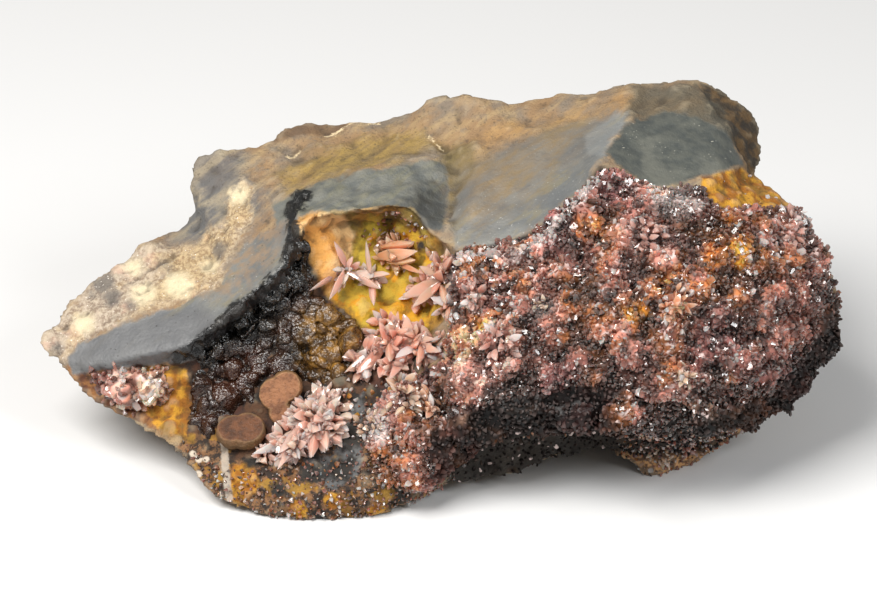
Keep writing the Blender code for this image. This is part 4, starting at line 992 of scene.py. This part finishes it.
# The last colour, a near black, is for crystals in painted shade.
SHELL, SHADE_BLACK = paint(222, 172, 144), paint(15, 12, 11)
COLOUR_PATCHES = [  # across, up and reach in mm, colour
    (0.7, 3.8, 1.4, FROST), (3.9, 0.3, 1.4, ROSE), (6.2, -4.6, 2.4, ROSE), (2.0, -4.1, 2.2, SALMON),
    (4.1, -2.5, 1.0, HONEY), (8.1, 4.5, 1.0, FROST), (12.2, 7.2, 2.8, PLUM), (9.5, 3.0, 2.6, MAUVE),
    (8.5, 1.9, 1.5, RUST), (20.8, 6.4, 2.5, ROSE), (17.2, 11.2, 2.2, PLUM), (14.6, 7.0, 1.8, RUST),
    (23.7, 9.8, 1.9, FROST), (28.8, 5.6, 2.8, RUST), (30.6, 4.6, 1.6, HONEY), (35.3, 6.8, 2.0, ROSE),
    (36.4, 7.6, 1.2, FROST), (34.9, -1.4, 4.2, MAUVE), (23.5, -0.4, 1.9, SALMON),
    (19.7, -0.9, 1.2, HONEY), (22.5, 1.9, 1.6, RUST), (30.0, 1.9, 2.0, UMBER), (18.6, 2.6, 2.4, MAUVE),
    (14.6, -1.3, 3.0, UMBER), (24.8, -7.6, 0.7, SHELL), (27.2, -4.6, 3.2, PLUM),
    (19.3, -6.9, 2.6, MAUVE), (7.5, -10.5, 4.0, SMOKE), (9.9, -5.5, 2.6, MAUVE),
    (39.6, 1.5, 1.6, SMOKE), (39.8, -3.0, 2.2, SMOKE), (38.6, -6.5, 2.0, SMOKE),
    (34.0, -8.8, 3.4, PLUM), (-4.3, -9.5, 1.6, ROSE),
    (-1.5, -11.5, 2.2, UMBER), (-6.6, -12.8, 1.6, FROST), (-4.5, -15.2, 1.7, UMBER),
    (-0.8, -15.8, 2.2, MAUVE), (2.1, -11.9, 0.8, SHELL), (26.0, -12.4, 4.0, SMOKE),
    (14.0, -11.6, 3.0, PLUM), (12.0, -8.0, 2.6, PLUM), (33.0, -11.0, 3.0, UMBER),
    (3.0, -7.6, 2.2, ROSE), (10.4, -0.6, 0.9, FROST), (-32.0, -8.5, 2.6, ROSE),
    (-28.8, -8.5, 2.0, SHELL), (-31.0, -9.8, 1.2, UMBER),
]
FROST_LINES = [
    [(8.6, 4.9), (10.8, 6.4), (13.0, 9.0), (15.6, 11.8)], [(2.4, 4.4), (6.0, 4.7)],
    [(21.0, 10.6), (24.0, 9.9), (26.0, 9.4)],
]
PATCH_EDGE = 2.5  # the higher, the harder a patch's edge
PLAIN_WEIGHT = 0.12  # of mauve and brown, where no patch is near


TINT_RANGE = (0.75, 1.25)  # of a patch's colour, from crystal to crystal
# Pale crystals are partly real frost and partly painted glints.
PALE_CHANCE, PALE_SHARE = 0.09, 0.8  # how many crystals are frosted all over, and how much


def tinted(colour, draw, shade=1.0):
    """A colour made a little lighter or darker and scaled by shade, which in the druse carries painted
    shade; now and then much paler, partly as frost and partly as painted glints.
    """
    share = draw.uniform(*TINT_RANGE) * shade
    frosted = draw.random() < PALE_CHANCE * min(shade, 1.3) ** 2
    pale = min(PALE_SHARE * shade, 0.95) if frosted else 0
    return [min(white, c * share) * (1 - pale) + white * pale for c, white in zip(colour[:3], FROST)]


def druse_colours(spots, draw):
    """A colour for each crystal: the nearest patches blended, then darkened by painted shade low on the
    head that it stands on, in dark holes and on the overhung edge.
    """
    flat = drawn(spots)
    frosted = away_from_lines(flat, FROST_LINES)
    patches = np.array([patch[:3] for patch in COLOUR_PATCHES])
    paints = np.array([patch[3][:3] for patch in COLOUR_PATCHES])
    wavy = flat + np.column_stack((lumps(spots, 2.2, 31.0), lumps(spots, 2.2, 32.0))) * 1.2
    gaps = np.linalg.norm(wavy[:, None] - patches[None, :, :2], axis=2) / patches[:, 2]
    weights = np.exp(-PATCH_EDGE * gaps ** 2)
    plain = np.where(lumps(spots, 2.6, 33.0)[:, None] > 0, MAUVE[:3], UMBER[:3])
    blended = (weights @ paints + PLAIN_WEIGHT * plain) / (weights.sum(axis=1) + PLAIN_WEIGHT)[:, None]
    # Painted shade: crystals low on their heads, in small dark holes and on the overhung edge are darker.
    # The broad lumps only vary the tone.
    shades = 0.40 + 1.75 * ramp(druse_height(spots), 0.35, 1.35)
    shades *= 1 + 0.9 * lumps(spots, 2.4, 34.0)
    shades *= 1 - 0.8 * ramp(lumps(spots, 1.1, 36.0), 0.12, 0.40)
    shades *= 1 - 0.90 * ramp(depth_inside(flat, PAINTED_SHADE_EDGE) + 1.4 * lumps(spots, 1.5, 35.0), -1.5, 1.3)
    frost = [edge < draw.uniform(0.1, 0.7) for edge in frosted]
    return [tinted(FROST, draw, max(shade, 0.8)) if white else tinted(colour, draw, shade)
            for colour, white, shade in zip(blended, frost, shades)]


print("patches of colour:", len(COLOUR_PATCHES))

# %% [markdown]
# ## Planting the druse
#
# Crystals stand out from the head that they grew on. Feet are thrown at random over the bed and
# thinned out, so that no crystal swallows its neighbour, and each leans a little its own way. The
# small ones are plain glass with some milkiness inside.

# %% Throw the feet
TRIES_PER_CELL = 1.5  # throws for each gap-sized square of the surface
BURIED_SHARE = 0.4  # of a crystal's length, below the face that it stands on


def scattered(piece, gap_mm, seed, keep=None):
    """Random spots on a piece's outer side, at least gap_mm apart, and their normals."""
    mesh = piece.data
    mesh.calc_loop_triangles()
    corners = np.empty(len(mesh.loop_triangles) * 3, np.int32)
    mesh.loop_triangles.foreach_get("vertices", corners)
    corners = corners.reshape(-1, 3)
    points, normals = corners_of(mesh), normals_of(mesh)
    usable = values_of(mesh, "outer")[corners].min(axis=1) > 0.5
    if keep:
        usable &= keep(points[corners[:, 0]], normals[corners[:, 0]])
    corners = corners[usable]
    a, b, c = (points[corners[:, i]] for i in range(3))
    areas = np.linalg.norm(np.cross(b - a, c - a), axis=1)
    dice = np.random.default_rng(seed)
    tries = int(TRIES_PER_CELL * areas.sum() / (gap_mm * MM) ** 2)
    picks = corners[dice.choice(len(corners), tries, p=areas / areas.sum())]
    shares = dice.dirichlet((1, 1, 1), tries)[:, :, None]
    spots, ways = (points[picks] * shares).sum(axis=1), (normals[picks] * shares).sum(axis=1)
    chosen = thinned(spots, gap_mm)
    return spots[chosen], ways[chosen]


def planted(piece, gap_mm, lengths, stoutness, lean, seed, keep=None, colours=druse_colours):
    """Seeds over a piece: lengths in mm and stoutness, which is length over width, are ranges."""
    draw = random.Random(seed)
    spots, ways = scattered(piece, gap_mm, seed, keep)
    seeds = []
    for spot, way, colour in zip(spots, ways, colours(spots, draw)):
        way = way / np.linalg.norm(way) + np.array([draw.gauss(0, lean) for _ in range(3)])
        way /= np.linalg.norm(way)
        length = draw.uniform(*lengths)
        foot = spot - way * length * BURIED_SHARE * MM
        seeds.append((foot, way, length, length / draw.uniform(*stoutness), colour))
    return seeds


# %% Tint the bed and plant it
# Painted shade: the bed under the crystals is made darker than they are.
BED_SHADE = 0.75  # the bed is darker than the crystals on it
CRYSTAL_LEAN = 0.55  # spread of a crystal's direction, as a share of its length

for bed in (druse_bed, druse_bed_left):
    tints = np.array(druse_colours(corners_of(bed.data), random.Random(8)))
    keep_colours(bed.data, tints * BED_SHADE)

glassy = Finish("small_crystals", Roughness=0.04, IOR=1.6, Subsurface_Weight=0.6,
                Subsurface_Radius=(1.0, 0.45, 0.35), Subsurface_Scale=0.0010,
                Transmission_Weight=0.5)
glassy.feed("Base Color", glassy.attribute("tint", "Color"))

# A finish for crystals in painted shade: nearly black tints, and shine turned down so that they mirror
# little of the white surroundings.
shaded_glass = Finish("crystals_in_painted_shade", Roughness=0.16, IOR=1.4, Specular_IOR_Level=0.12)
shaded_glass.feed("Base Color", shaded_glass.attribute("tint", "Color"))


def lit(points, normals):
    return depth_inside(drawn(points), PAINTED_SHADE_EDGE) < 0.3


def in_painted_shade(points, normals):
    return depth_inside(drawn(points), PAINTED_SHADE_EDGE) > -0.3


def druse_piece(name, bed, gap_mm, lengths, stoutness, seed, keep, finish, tip_frost=0.25):
    seeds = planted(bed, gap_mm, lengths, stoutness, CRYSTAL_LEAN, seed, keep)
    piece = grow(name, GRAINS, seeds, finish, tip_frost)


druse_piece("druse_large", druse_bed, 1.2, (0.9, 1.4), (1.4, 2.1), 1, lit, glassy)
druse_piece("druse_medium", druse_bed, 0.62, (0.7, 1.1), (1.3, 2.0), 2, lit, glassy)
druse_piece("druse_small", druse_bed, 0.36, (0.4, 0.8), (1.2, 1.8), 3, lit, glassy)
# Crystals on the overhung edge are painted nearly black, as shade.
druse_piece("druse_in_painted_shade", druse_bed, 0.42, (0.4, 0.9), (1.2, 1.8), 6, in_painted_shade, shaded_glass, 0.08)
druse_piece("druse_left", druse_bed_left, 0.5, (0.7, 1.4), (1.4, 2.0), 4, None, glassy)

# %% [markdown]
# The base of the stone, the foot on the right, the ochre patch, the roof of the hollow and the strip
# between the druse and the goethite carry a thin scatter of small pale crystals, between which the
# rock shows. Those in the recess under the stone are painted nearly black, as shade.

# %% Loose crystals on the rock
# The recess crystals are painted near black, as shade.
RECESS_SCATTER = (ZONES["recess"], 0.5, [SHADE_BLACK, SHADE_BLACK, SHADE_BLACK, SHADE_BLACK, SMOKE])
SCATTERS = [  # outline, gap between crystals in mm, their colours
    (pairs(-25.4, -14, -21.4, -17, -15, -16.6, -9, -15.6, -7, -9.6, -5, -12, -3, -17.6, 1.8, -17.4,
           1.4, -20, -6, -23.2, -17, -23.4, -22, -20),
     0.42, [SHELL, FROST, SMOKE, RUST, UMBER, MAUVE, SMOKE, UMBER, MAUVE, SMOKE]),
    (pairs(26, 11.6, 31, 12.6, 34.8, 9.6, 31, 8.2, 26.6, 9.2),
     1.5, [FROST, HONEY, UMBER]),
    (pairs(17.6, -13.4, 27, -12.6, 36.4, -10, 30.8, -14.8, 27, -17, 22, -18.4, 18.6, -15.6),
     0.46, [FROST, SHELL, SMOKE, MAUVE, RUST, MAUVE, PLUM, SMOKE]),
    (pairs(-8, 6.8, -4.6, 9.2, -2.4, 8.8, -1, 6.4, -2.8, 5.6, -5, 6.2),
     0.62, [SHELL, SHELL, ROSE, FROST, SALMON, UMBER]),
    (pairs(-9.4, -7.8, -5.5, -8, -3.6, -8.4, -6.2, -10, -7.4, -14, -9, -12, -9.6, -9.6),
     0.55, [ROSE, FROST, HONEY, SALMON, UMBER]),
]


LOOSE_SIZES = (0.3, 0.75)
LOOSE_STOUTNESS = (1.2, 2.0)
LOOSE_LEAN = 0.5


def loose_seeds(outline, gap_mm, colours, seed):
    """Crystals scattered over the rock inside an outline, on what faces forwards."""
    def keep(points, normals):
        return (depth_inside(drawn(points), outline) > 0) & (normals @ np.array(TOWARDS_EYE) > 0.0)

    def pick(spots, draw):
        return [tinted(draw.choice(colours), draw) for _ in spots]

    return planted(rock_skin, gap_mm, LOOSE_SIZES, LOOSE_STOUTNESS, LOOSE_LEAN, seed, keep, pick)


def behind_the_edge(points, normals):
    """The flank just behind the crust, where the crystals thin out."""
    turn = normals @ np.array(TOWARDS_EYE)
    near = turn + 0.5 * lumps(points, 3.0, 41.0) > -0.22
    return near & (turn < 0.05) & (depth_inside(drawn(points), DRUSE) > -0.6)


def edge_colours(spots, draw):
    return [tinted(draw.choice([PLUM, SMOKE, MAUVE, UMBER, SHELL]), draw) for _ in spots]


loose = [seed for number, scatter in enumerate(SCATTERS) for seed in loose_seeds(*scatter, 30 + number)]
loose += planted(rock_skin, 0.6, (0.4, 0.9), LOOSE_STOUTNESS, LOOSE_LEAN, 42, behind_the_edge,
                 edge_colours)
loose_crystals = grow("loose_crystals", GRAINS, loose, glassy)
recess_crystals = grow("recess_crystals", GRAINS, loose_seeds(*RECESS_SCATTER, 40), shaded_glass, 0.04)

# %% [markdown]
# ## Dog-tooth crystals in the hollow
#
# The larger crystals are the specimen's jewels. Each is a lens like a grain of rice, pointed at both
# ends. The longest, up to six millimetres with the buried tail, are set one by one, where the plain
# solids have them. Mounds of shorter ones, one or two millimetres long, fill in between.

# %% Where the longest crystals stand
SPRAYS = {  # tail, tip: across, up and height above the rock; then width
    "spray_hollow_left": [
        ((-9.1, 3.1, 0.4), (-10.4, 5.9, 1.8), 1.2), ((-9.4, 3.0, 0.8), (-10.9, 0.0, 2.6), 1.3),
        ((-9.6, 3.0, 0.2), (-12.9, 0.9, 1.3), 1.3), ((-9.1, 3.0, 0.4), (-8.5, 4.4, 2.4), 1.1),
        ((-9.2, 2.8, 0.6), (-7.0, 1.6, 2.4), 1.2), ((-8.6, 2.7, 0.8), (-5.7, 1.1, 3.2), 1.3),
        ((-6.6, 2.2, 0.6), (-6.4, -0.6, 3.2), 1.3), ((-6.7, 2.0, 0.8), (-7.2, 6.0, 3.0), 1.0),
        ((-6.8, 2.4, 0.2), (-4.8, 2.6, 3.0), 1.2), ((-8.8, 2.6, 0.0), (-6.0, 2.4, 1.0), 1.6),
    ],
    "spray_hollow_top": [
        ((-6.1, 4.4, 1.0), (-2.0, 4.9, 2.4), 2.0), ((-5.9, 5.3, 1.2), (-2.4, 5.7, 2.2), 1.6),
        ((-5.2, 3.8, 1.0), (-2.2, 4.0, 2.2), 1.6), ((-4.2, 3.8, 0.6), (-1.4, 2.6, 2.4), 1.1),
        ((-4.2, 4.6, 0.0), (-4.6, 4.2, 3.4), 2.2), ((-4.4, 4.6, 0.2), (-5.2, 6.4, 2.2), 1.5),
    ],
    "spray_hollow_right": [
        ((0.4, 2.0, 0.6), (-3.6, 0.2, 2.6), 2.0), ((0.4, 1.8, 0.6), (-2.6, -0.8, 2.2), 1.7),
        ((0.2, 2.2, 0.6), (-1.9, 3.4, 2.2), 1.3), ((0.2, 2.2, 0.4), (-0.4, 4.9, 2.4), 1.6),
        ((0.2, 2.2, 0.4), (1.4, 4.4, 1.8), 1.5), ((0.0, 2.0, 0.0), (0.3, 2.9, 3.6), 2.0),
        ((0.2, 1.8, 0.4), (-0.6, 0.6, 3.4), 1.8), ((0.2, 1.8, 0.2), (0.8, -0.4, 2.6), 1.6),
    ],
    "spray_floor": [
        ((-5.0, -3.8, 0.8), (-9.4, -7.3, 2.2), 1.7), ((-5.4, -4.8, 0.6), (-8.2, -7.4, 1.6), 1.8),
        ((-4.8, -4.8, 0.6), (-5.9, -2.1, 2.8), 1.6), ((-4.8, -4.2, 0.6), (-4.8, -6.2, 3.4), 1.6),
        ((-3.0, -4.8, 0.6), (-3.2, -1.5, 2.8), 1.8), ((-4.4, -3.8, 0.6), (-4.0, -1.1, 2.4), 1.1),
        ((-2.2, -4.8, 1.4), (-4.3, -5.8, 3.6), 1.4), ((-1.6, -4.4, 1.2), (-2.0, -6.4, 3.4), 1.5),
        ((-2.2, -4.4, 1.0), (0.3, -5.2, 2.4), 1.4), ((-2.8, -3.9, 1.0), (-0.2, -3.9, 2.4), 1.3),
        ((-2.8, -4.6, 0.4), (-4.9, -8.0, 2.2), 1.7), ((-4.4, -4.4, 0.0), (-3.6, -3.8, 4.0), 2.2),
        ((-2.6, -4.6, 0.0), (-2.0, -4.4, 3.8), 2.0), ((-5.0, -4.4, 0.0), (-2.0, -4.6, 0.8), 2.0),
    ],
    "spray_lower": [
        ((-12.2, -12.0, 0.8), (-16.0, -15.4, 3.2), 2.0), ((-13.0, -12.6, 0.4), (-16.1, -17.0, 2.4), 1.9),
        ((-13.2, -13.0, 0.0), (-18.6, -15.4, 1.4), 1.9), ((-12.1, -12.2, 0.8), (-12.7, -15.8, 3.6), 2.0),
        ((-11.6, -12.0, 0.8), (-11.1, -15.0, 3.2), 2.0), ((-12.0, -12.0, 0.4), (-9.3, -11.8, 2.4), 1.9),
        ((-11.8, -12.0, 0.4), (-11.4, -8.9, 2.0), 2.0), ((-11.8, -12.2, 0.4), (-9.7, -9.6, 2.0), 1.9),
        ((-12.0, -12.0, 0.6), (-15.3, -12.5, 2.4), 1.8), ((-11.9, -12.2, 0.0), (-12.3, -13.2, 4.6), 2.6),
        ((-11.6, -12.0, 0.0), (-10.6, -11.0, 4.0), 2.4), ((-12.0, -12.0, 0.2), (-13.8, -10.4, 2.6), 2.0),
    ],
}
MOUNDS = {  # across, up, radius and height of the mound, how many crystals, least and most length
    "spray_hollow_left": [(-9.3, 2.8, 0.8, 0.9, 16, 0.8, 1.7), (-6.8, 2.2, 0.7, 0.9, 14, 0.8, 1.5)],
    "spray_hollow_top": [(-4.3, 4.7, 1.5, 1.6, 46, 0.8, 1.6), (-6.4, 6.0, 0.7, 1.0, 16, 0.6, 1.1)],
    "spray_hollow_right": [(-1.4, 0.9, 1.4, 1.4, 46, 0.9, 1.9), (0.3, 3.4, 1.2, 1.3, 44, 0.8, 1.6),
                           (0.9, 0.0, 1.2, 1.2, 30, 0.9, 1.7)],
    "spray_floor": [(-7.4, -5.8, 1.4, 1.0, 40, 1.0, 2.1), (-4.6, -3.6, 1.7, 1.8, 70, 0.9, 1.9),
                    (-2.2, -4.6, 1.7, 1.8, 70, 0.9, 1.9), (-4.4, -6.2, 1.3, 1.1, 44, 0.9, 1.8),
                    (-0.4, -4.4, 1.0, 1.0, 26, 0.8, 1.5)],
    "spray_lower": [(-12.0, -12.1, 2.5, 3.0, 180, 1.0, 1.9), (-14.6, -14.2, 1.6, 2.1, 90, 1.0, 1.8),
                    (-11.2, -9.8, 1.3, 1.2, 40, 0.7, 1.4), (-17.2, -15.5, 0.8, 0.7, 20, 0.7, 1.4)],
}
SPRAY_COLOURS = {
    "spray_hollow_left": paint(253, 186, 170), "spray_hollow_top": paint(252, 164, 122),
    "spray_hollow_right": paint(252, 164, 138), "spray_floor": paint(252, 160, 136),
    "spray_lower": paint(255, 178, 158),
}
print("longest crystals:", sum(map(len, SPRAYS.values())))

# %% A surface to stand on
def tree_of(mesh):
    return BVHTree.FromPolygons([v.co for v in mesh.vertices], [p.vertices for p in mesh.polygons])


rock_tree, bed_tree = tree_of(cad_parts["matrix_rock"].data), tree_of(druse_bed.data)


REACH = 60.0  # mm before and behind the drawing, between which a face is looked for


def surface(across, up, height=0.0, tree=rock_tree):
    """The point height mm above a tree's face at a drawn place, or above the rock where it has none."""
    eye = place(across, up, -REACH)
    way = (place(across, up, REACH) - eye).normalized()
    hit = tree.ray_cast(eye, way)[0] or rock_tree.ray_cast(eye, way)[0]
    return hit - way * height * MM


print("rock face at the lower spray in mm:", [round(c / MM, 1) for c in surface(-12.0, -12.0)])

# %% Grow the sprays
dog_tooth = Finish("dog_tooth", Roughness=0.03, IOR=1.65, Subsurface_Weight=0.7,
                   Subsurface_Radius=(1.0, 0.55, 0.45), Subsurface_Scale=0.0022,
                   Transmission_Weight=0.2)
dog_tooth.feed("Base Color", dog_tooth.attribute("tint", "Color"))


LENS_SLIMNESS = 0.62  # width of a lens over the width of the plain solid's
LENS_STOUTNESS = (0.40, 0.62)  # width over length of the short ones
LENS_FROST = 0.35  # how white the tips are
CREASE = math.radians(24)  # faces that meet at more than this keep a sharp edge
FORWARDS, OUTWARDS, STRAY = 0.6, 1.1, 0.65  # what sets the way that a mound's crystal points
MOUND_SINK = 0.3  # mm that a crystal's foot lies under the mound


def mound_seeds(mound, colour, draw, tree=rock_tree):
    """Crystals that splay outwards from a low mound, more on their sides than upright."""
    across, up, radius, height, count, least, most = mound
    for _ in range(count):
        reach, angle = radius * math.sqrt(draw.random()), draw.uniform(0, 2 * math.pi)
        aside, above = reach * math.cos(angle), reach * math.sin(angle)
        dome = height * (1 - (reach / radius) ** 2)
        foot = surface(across + aside, up + above, dome - MOUND_SINK, tree)
        outwards = (Vector((1, 0, 0)) * aside + UPWARD * above) * (OUTWARDS / radius)
        way = TOWARDS_EYE * FORWARDS + outwards + Vector(draw.gauss(0, STRAY) for _ in range(3))
        length = draw.uniform(least, most)
        yield foot, way, length, length * draw.uniform(*LENS_STOUTNESS), tinted(colour, draw)


for name, teeth in SPRAYS.items():
    draw = random.Random(name)
    seeds = []
    for tail, tip, width in teeth:
        start, end = surface(*tail), surface(*tip)
        seeds.append((start, end - start, (end - start).length / MM, width * LENS_SLIMNESS,
                      tinted(SPRAY_COLOURS[name], draw)))
    for mound in MOUNDS[name]:
        seeds += mound_seeds(mound, SPRAY_COLOURS[name], draw)
    piece = grow(name + "_crystals", LENSES, seeds, dog_tooth, LENS_FROST)
    piece.data.set_sharp_from_angle(angle=CREASE)
    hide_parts(name)

# %% [markdown]
# Small rosettes of the same lens-shaped crystals stand here and there on the druse too.

# %% Rosettes on the druse
ROSETTES = [  # a mound each, then its colour
    ((3.9, 0.4, 1.3, 1.0, 30, 0.8, 1.6), ROSE), ((-3.4, -9.6, 1.6, 1.0, 40, 0.8, 1.7), SHELL),
    ((-6.8, -12.6, 1.3, 0.8, 34, 0.6, 1.1), SHELL), ((10.6, -0.5, 0.7, 0.6, 12, 0.6, 1.0), SHELL),
    ((24.8, -7.6, 0.9, 0.7, 16, 0.7, 1.3), SHELL), ((23.5, -0.4, 1.6, 0.9, 34, 0.8, 1.5), SALMON),
    ((35.3, 7.2, 1.6, 0.9, 34, 0.8, 1.5), ROSE), ((20.8, 6.4, 1.8, 0.9, 40, 0.8, 1.5), ROSE),
    ((6.2, -4.4, 1.6, 0.9, 34, 0.8, 1.6), ROSE), ((-0.6, -10.8, 1.4, 0.9, 28, 0.8, 1.5), SALMON),
    ((22.4, -15.5, 1.0, 0.5, 20, 0.6, 1.1), SHELL), ((24.8, -14.6, 0.8, 0.5, 14, 0.6, 1.1), MAUVE),
    ((1.6, -0.8, 0.6, 0.5, 8, 1.4, 2.4), FROST),
]
draw = random.Random("rosettes")
seeds = [seed for mound, colour in ROSETTES for seed in mound_seeds(mound, colour, draw, bed_tree)]
druse_rosettes = grow("druse_rosettes", LENSES, seeds, dog_tooth, LENS_FROST)
druse_rosettes.data.set_sharp_from_angle(angle=CREASE)

# %% [markdown]
# ## Broken beads
#
# Two brown beads of ore beside the lower spray were broken through, and their flat faces show faint
# rings, as growth layers do. The plain solid has the right shape, so its net is only made finer and
# roughened, and the rings come from the distance to each ball's middle.

# %% Beads
BEADS = {  # balls as (across, up, height) and radius in mm, the way the break looks, two colours
    "bead_upper": ([((-16.2, -9.4, 1.4), 1.75), ((-15.1, -8.6, 1.4), 1.65), ((-15.8, -11.3, 1.4), 1.3)],
                   (-0.15, 0.0, 1.0), (96, 58, 34), (150, 102, 68)),
    "bead_lower": ([((-19.1, -13.2, 0.6), 2.0), ((-20.4, -13.4, 0.6), 1.8)],
                   (-0.1, 0.7, 1.0), (70, 44, 28), (108, 68, 42)),
}
BEAD_STEP = 0.11  # mm between the lines of a bead's net

for name, (balls, looks, dark, light) in BEADS.items():
    finish = Finish(name, Roughness=0.5, IOR=1.5)
    level = (Vector((1, 0, 0)) * looks[0] + UPWARD * looks[1] + TOWARDS_EYE * looks[2]).normalized()
    first = surface(*balls[0][0])
    inward = None
    for ball, radius in balls:
        middle = surface(*ball)
        middle -= level * (middle - first).dot(level)
        away = finish.node("ShaderNodeVectorMath", {"operation": "DISTANCE"},
                           {0: finish.spot, 1: middle}, "Value")
        depth = radius - away * (1 / MM)
        inward = depth if inward is None else inward.largest(depth)
    inward = inward + (finish.cloud(1.2) - 0.5) * 0.5
    finish.feed("Base Color", finish.grade(
        finish.cloud(1.3, 4.0), 0.40, 0.62, dark, light,
        (inward, 0.75, 0.6, 0.25, light), (finish.cloud(0.4, 3.0), 0.56, 0.68, 0.5, dark),
        (inward, 0.24, 0.14, 0.15, (186, 156, 104)), (inward, 0.10, 0.0, 0.9, (98, 70, 36))))
    finish.bump(finish.cloud(0.3, 4.0, 0.7), 0.25)
    mesh = remeshed(name, BEAD_STEP)
    rough = 0.05 * lumps(corners_of(mesh), 0.8) + 0.03 * lumps(corners_of(mesh), 0.3, 2.0)
    move_corners(mesh, corners_of(mesh) + normals_of(mesh) * rough[:, None] * MM)
    piece = add_piece(name + "_fine", mesh, finish, smooth=True)
    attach(piece, "root")
    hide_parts(name)

# %% [markdown]
# ## Floor
#
# A plain pale sheet, wide enough to fill the view. It belongs to the studio and not to the stone.

# %% Floor and the last lines
FLOOR_REACH = 3.0  # metres to each side
CORNERS = ((-1, -1), (1, -1), (1, 1), (-1, 1))
paper = Finish("paper", Roughness=0.9, Base_Color=(0.64, 0.64, 0.64, 1))
floor_mesh = bpy.data.meshes.new("floor")
floor_mesh.from_pydata([(x * FLOOR_REACH, y * FLOOR_REACH, 0) for x, y in CORNERS], [], [(0, 1, 2, 3)])
floor = add_piece("floor", floor_mesh, paper)
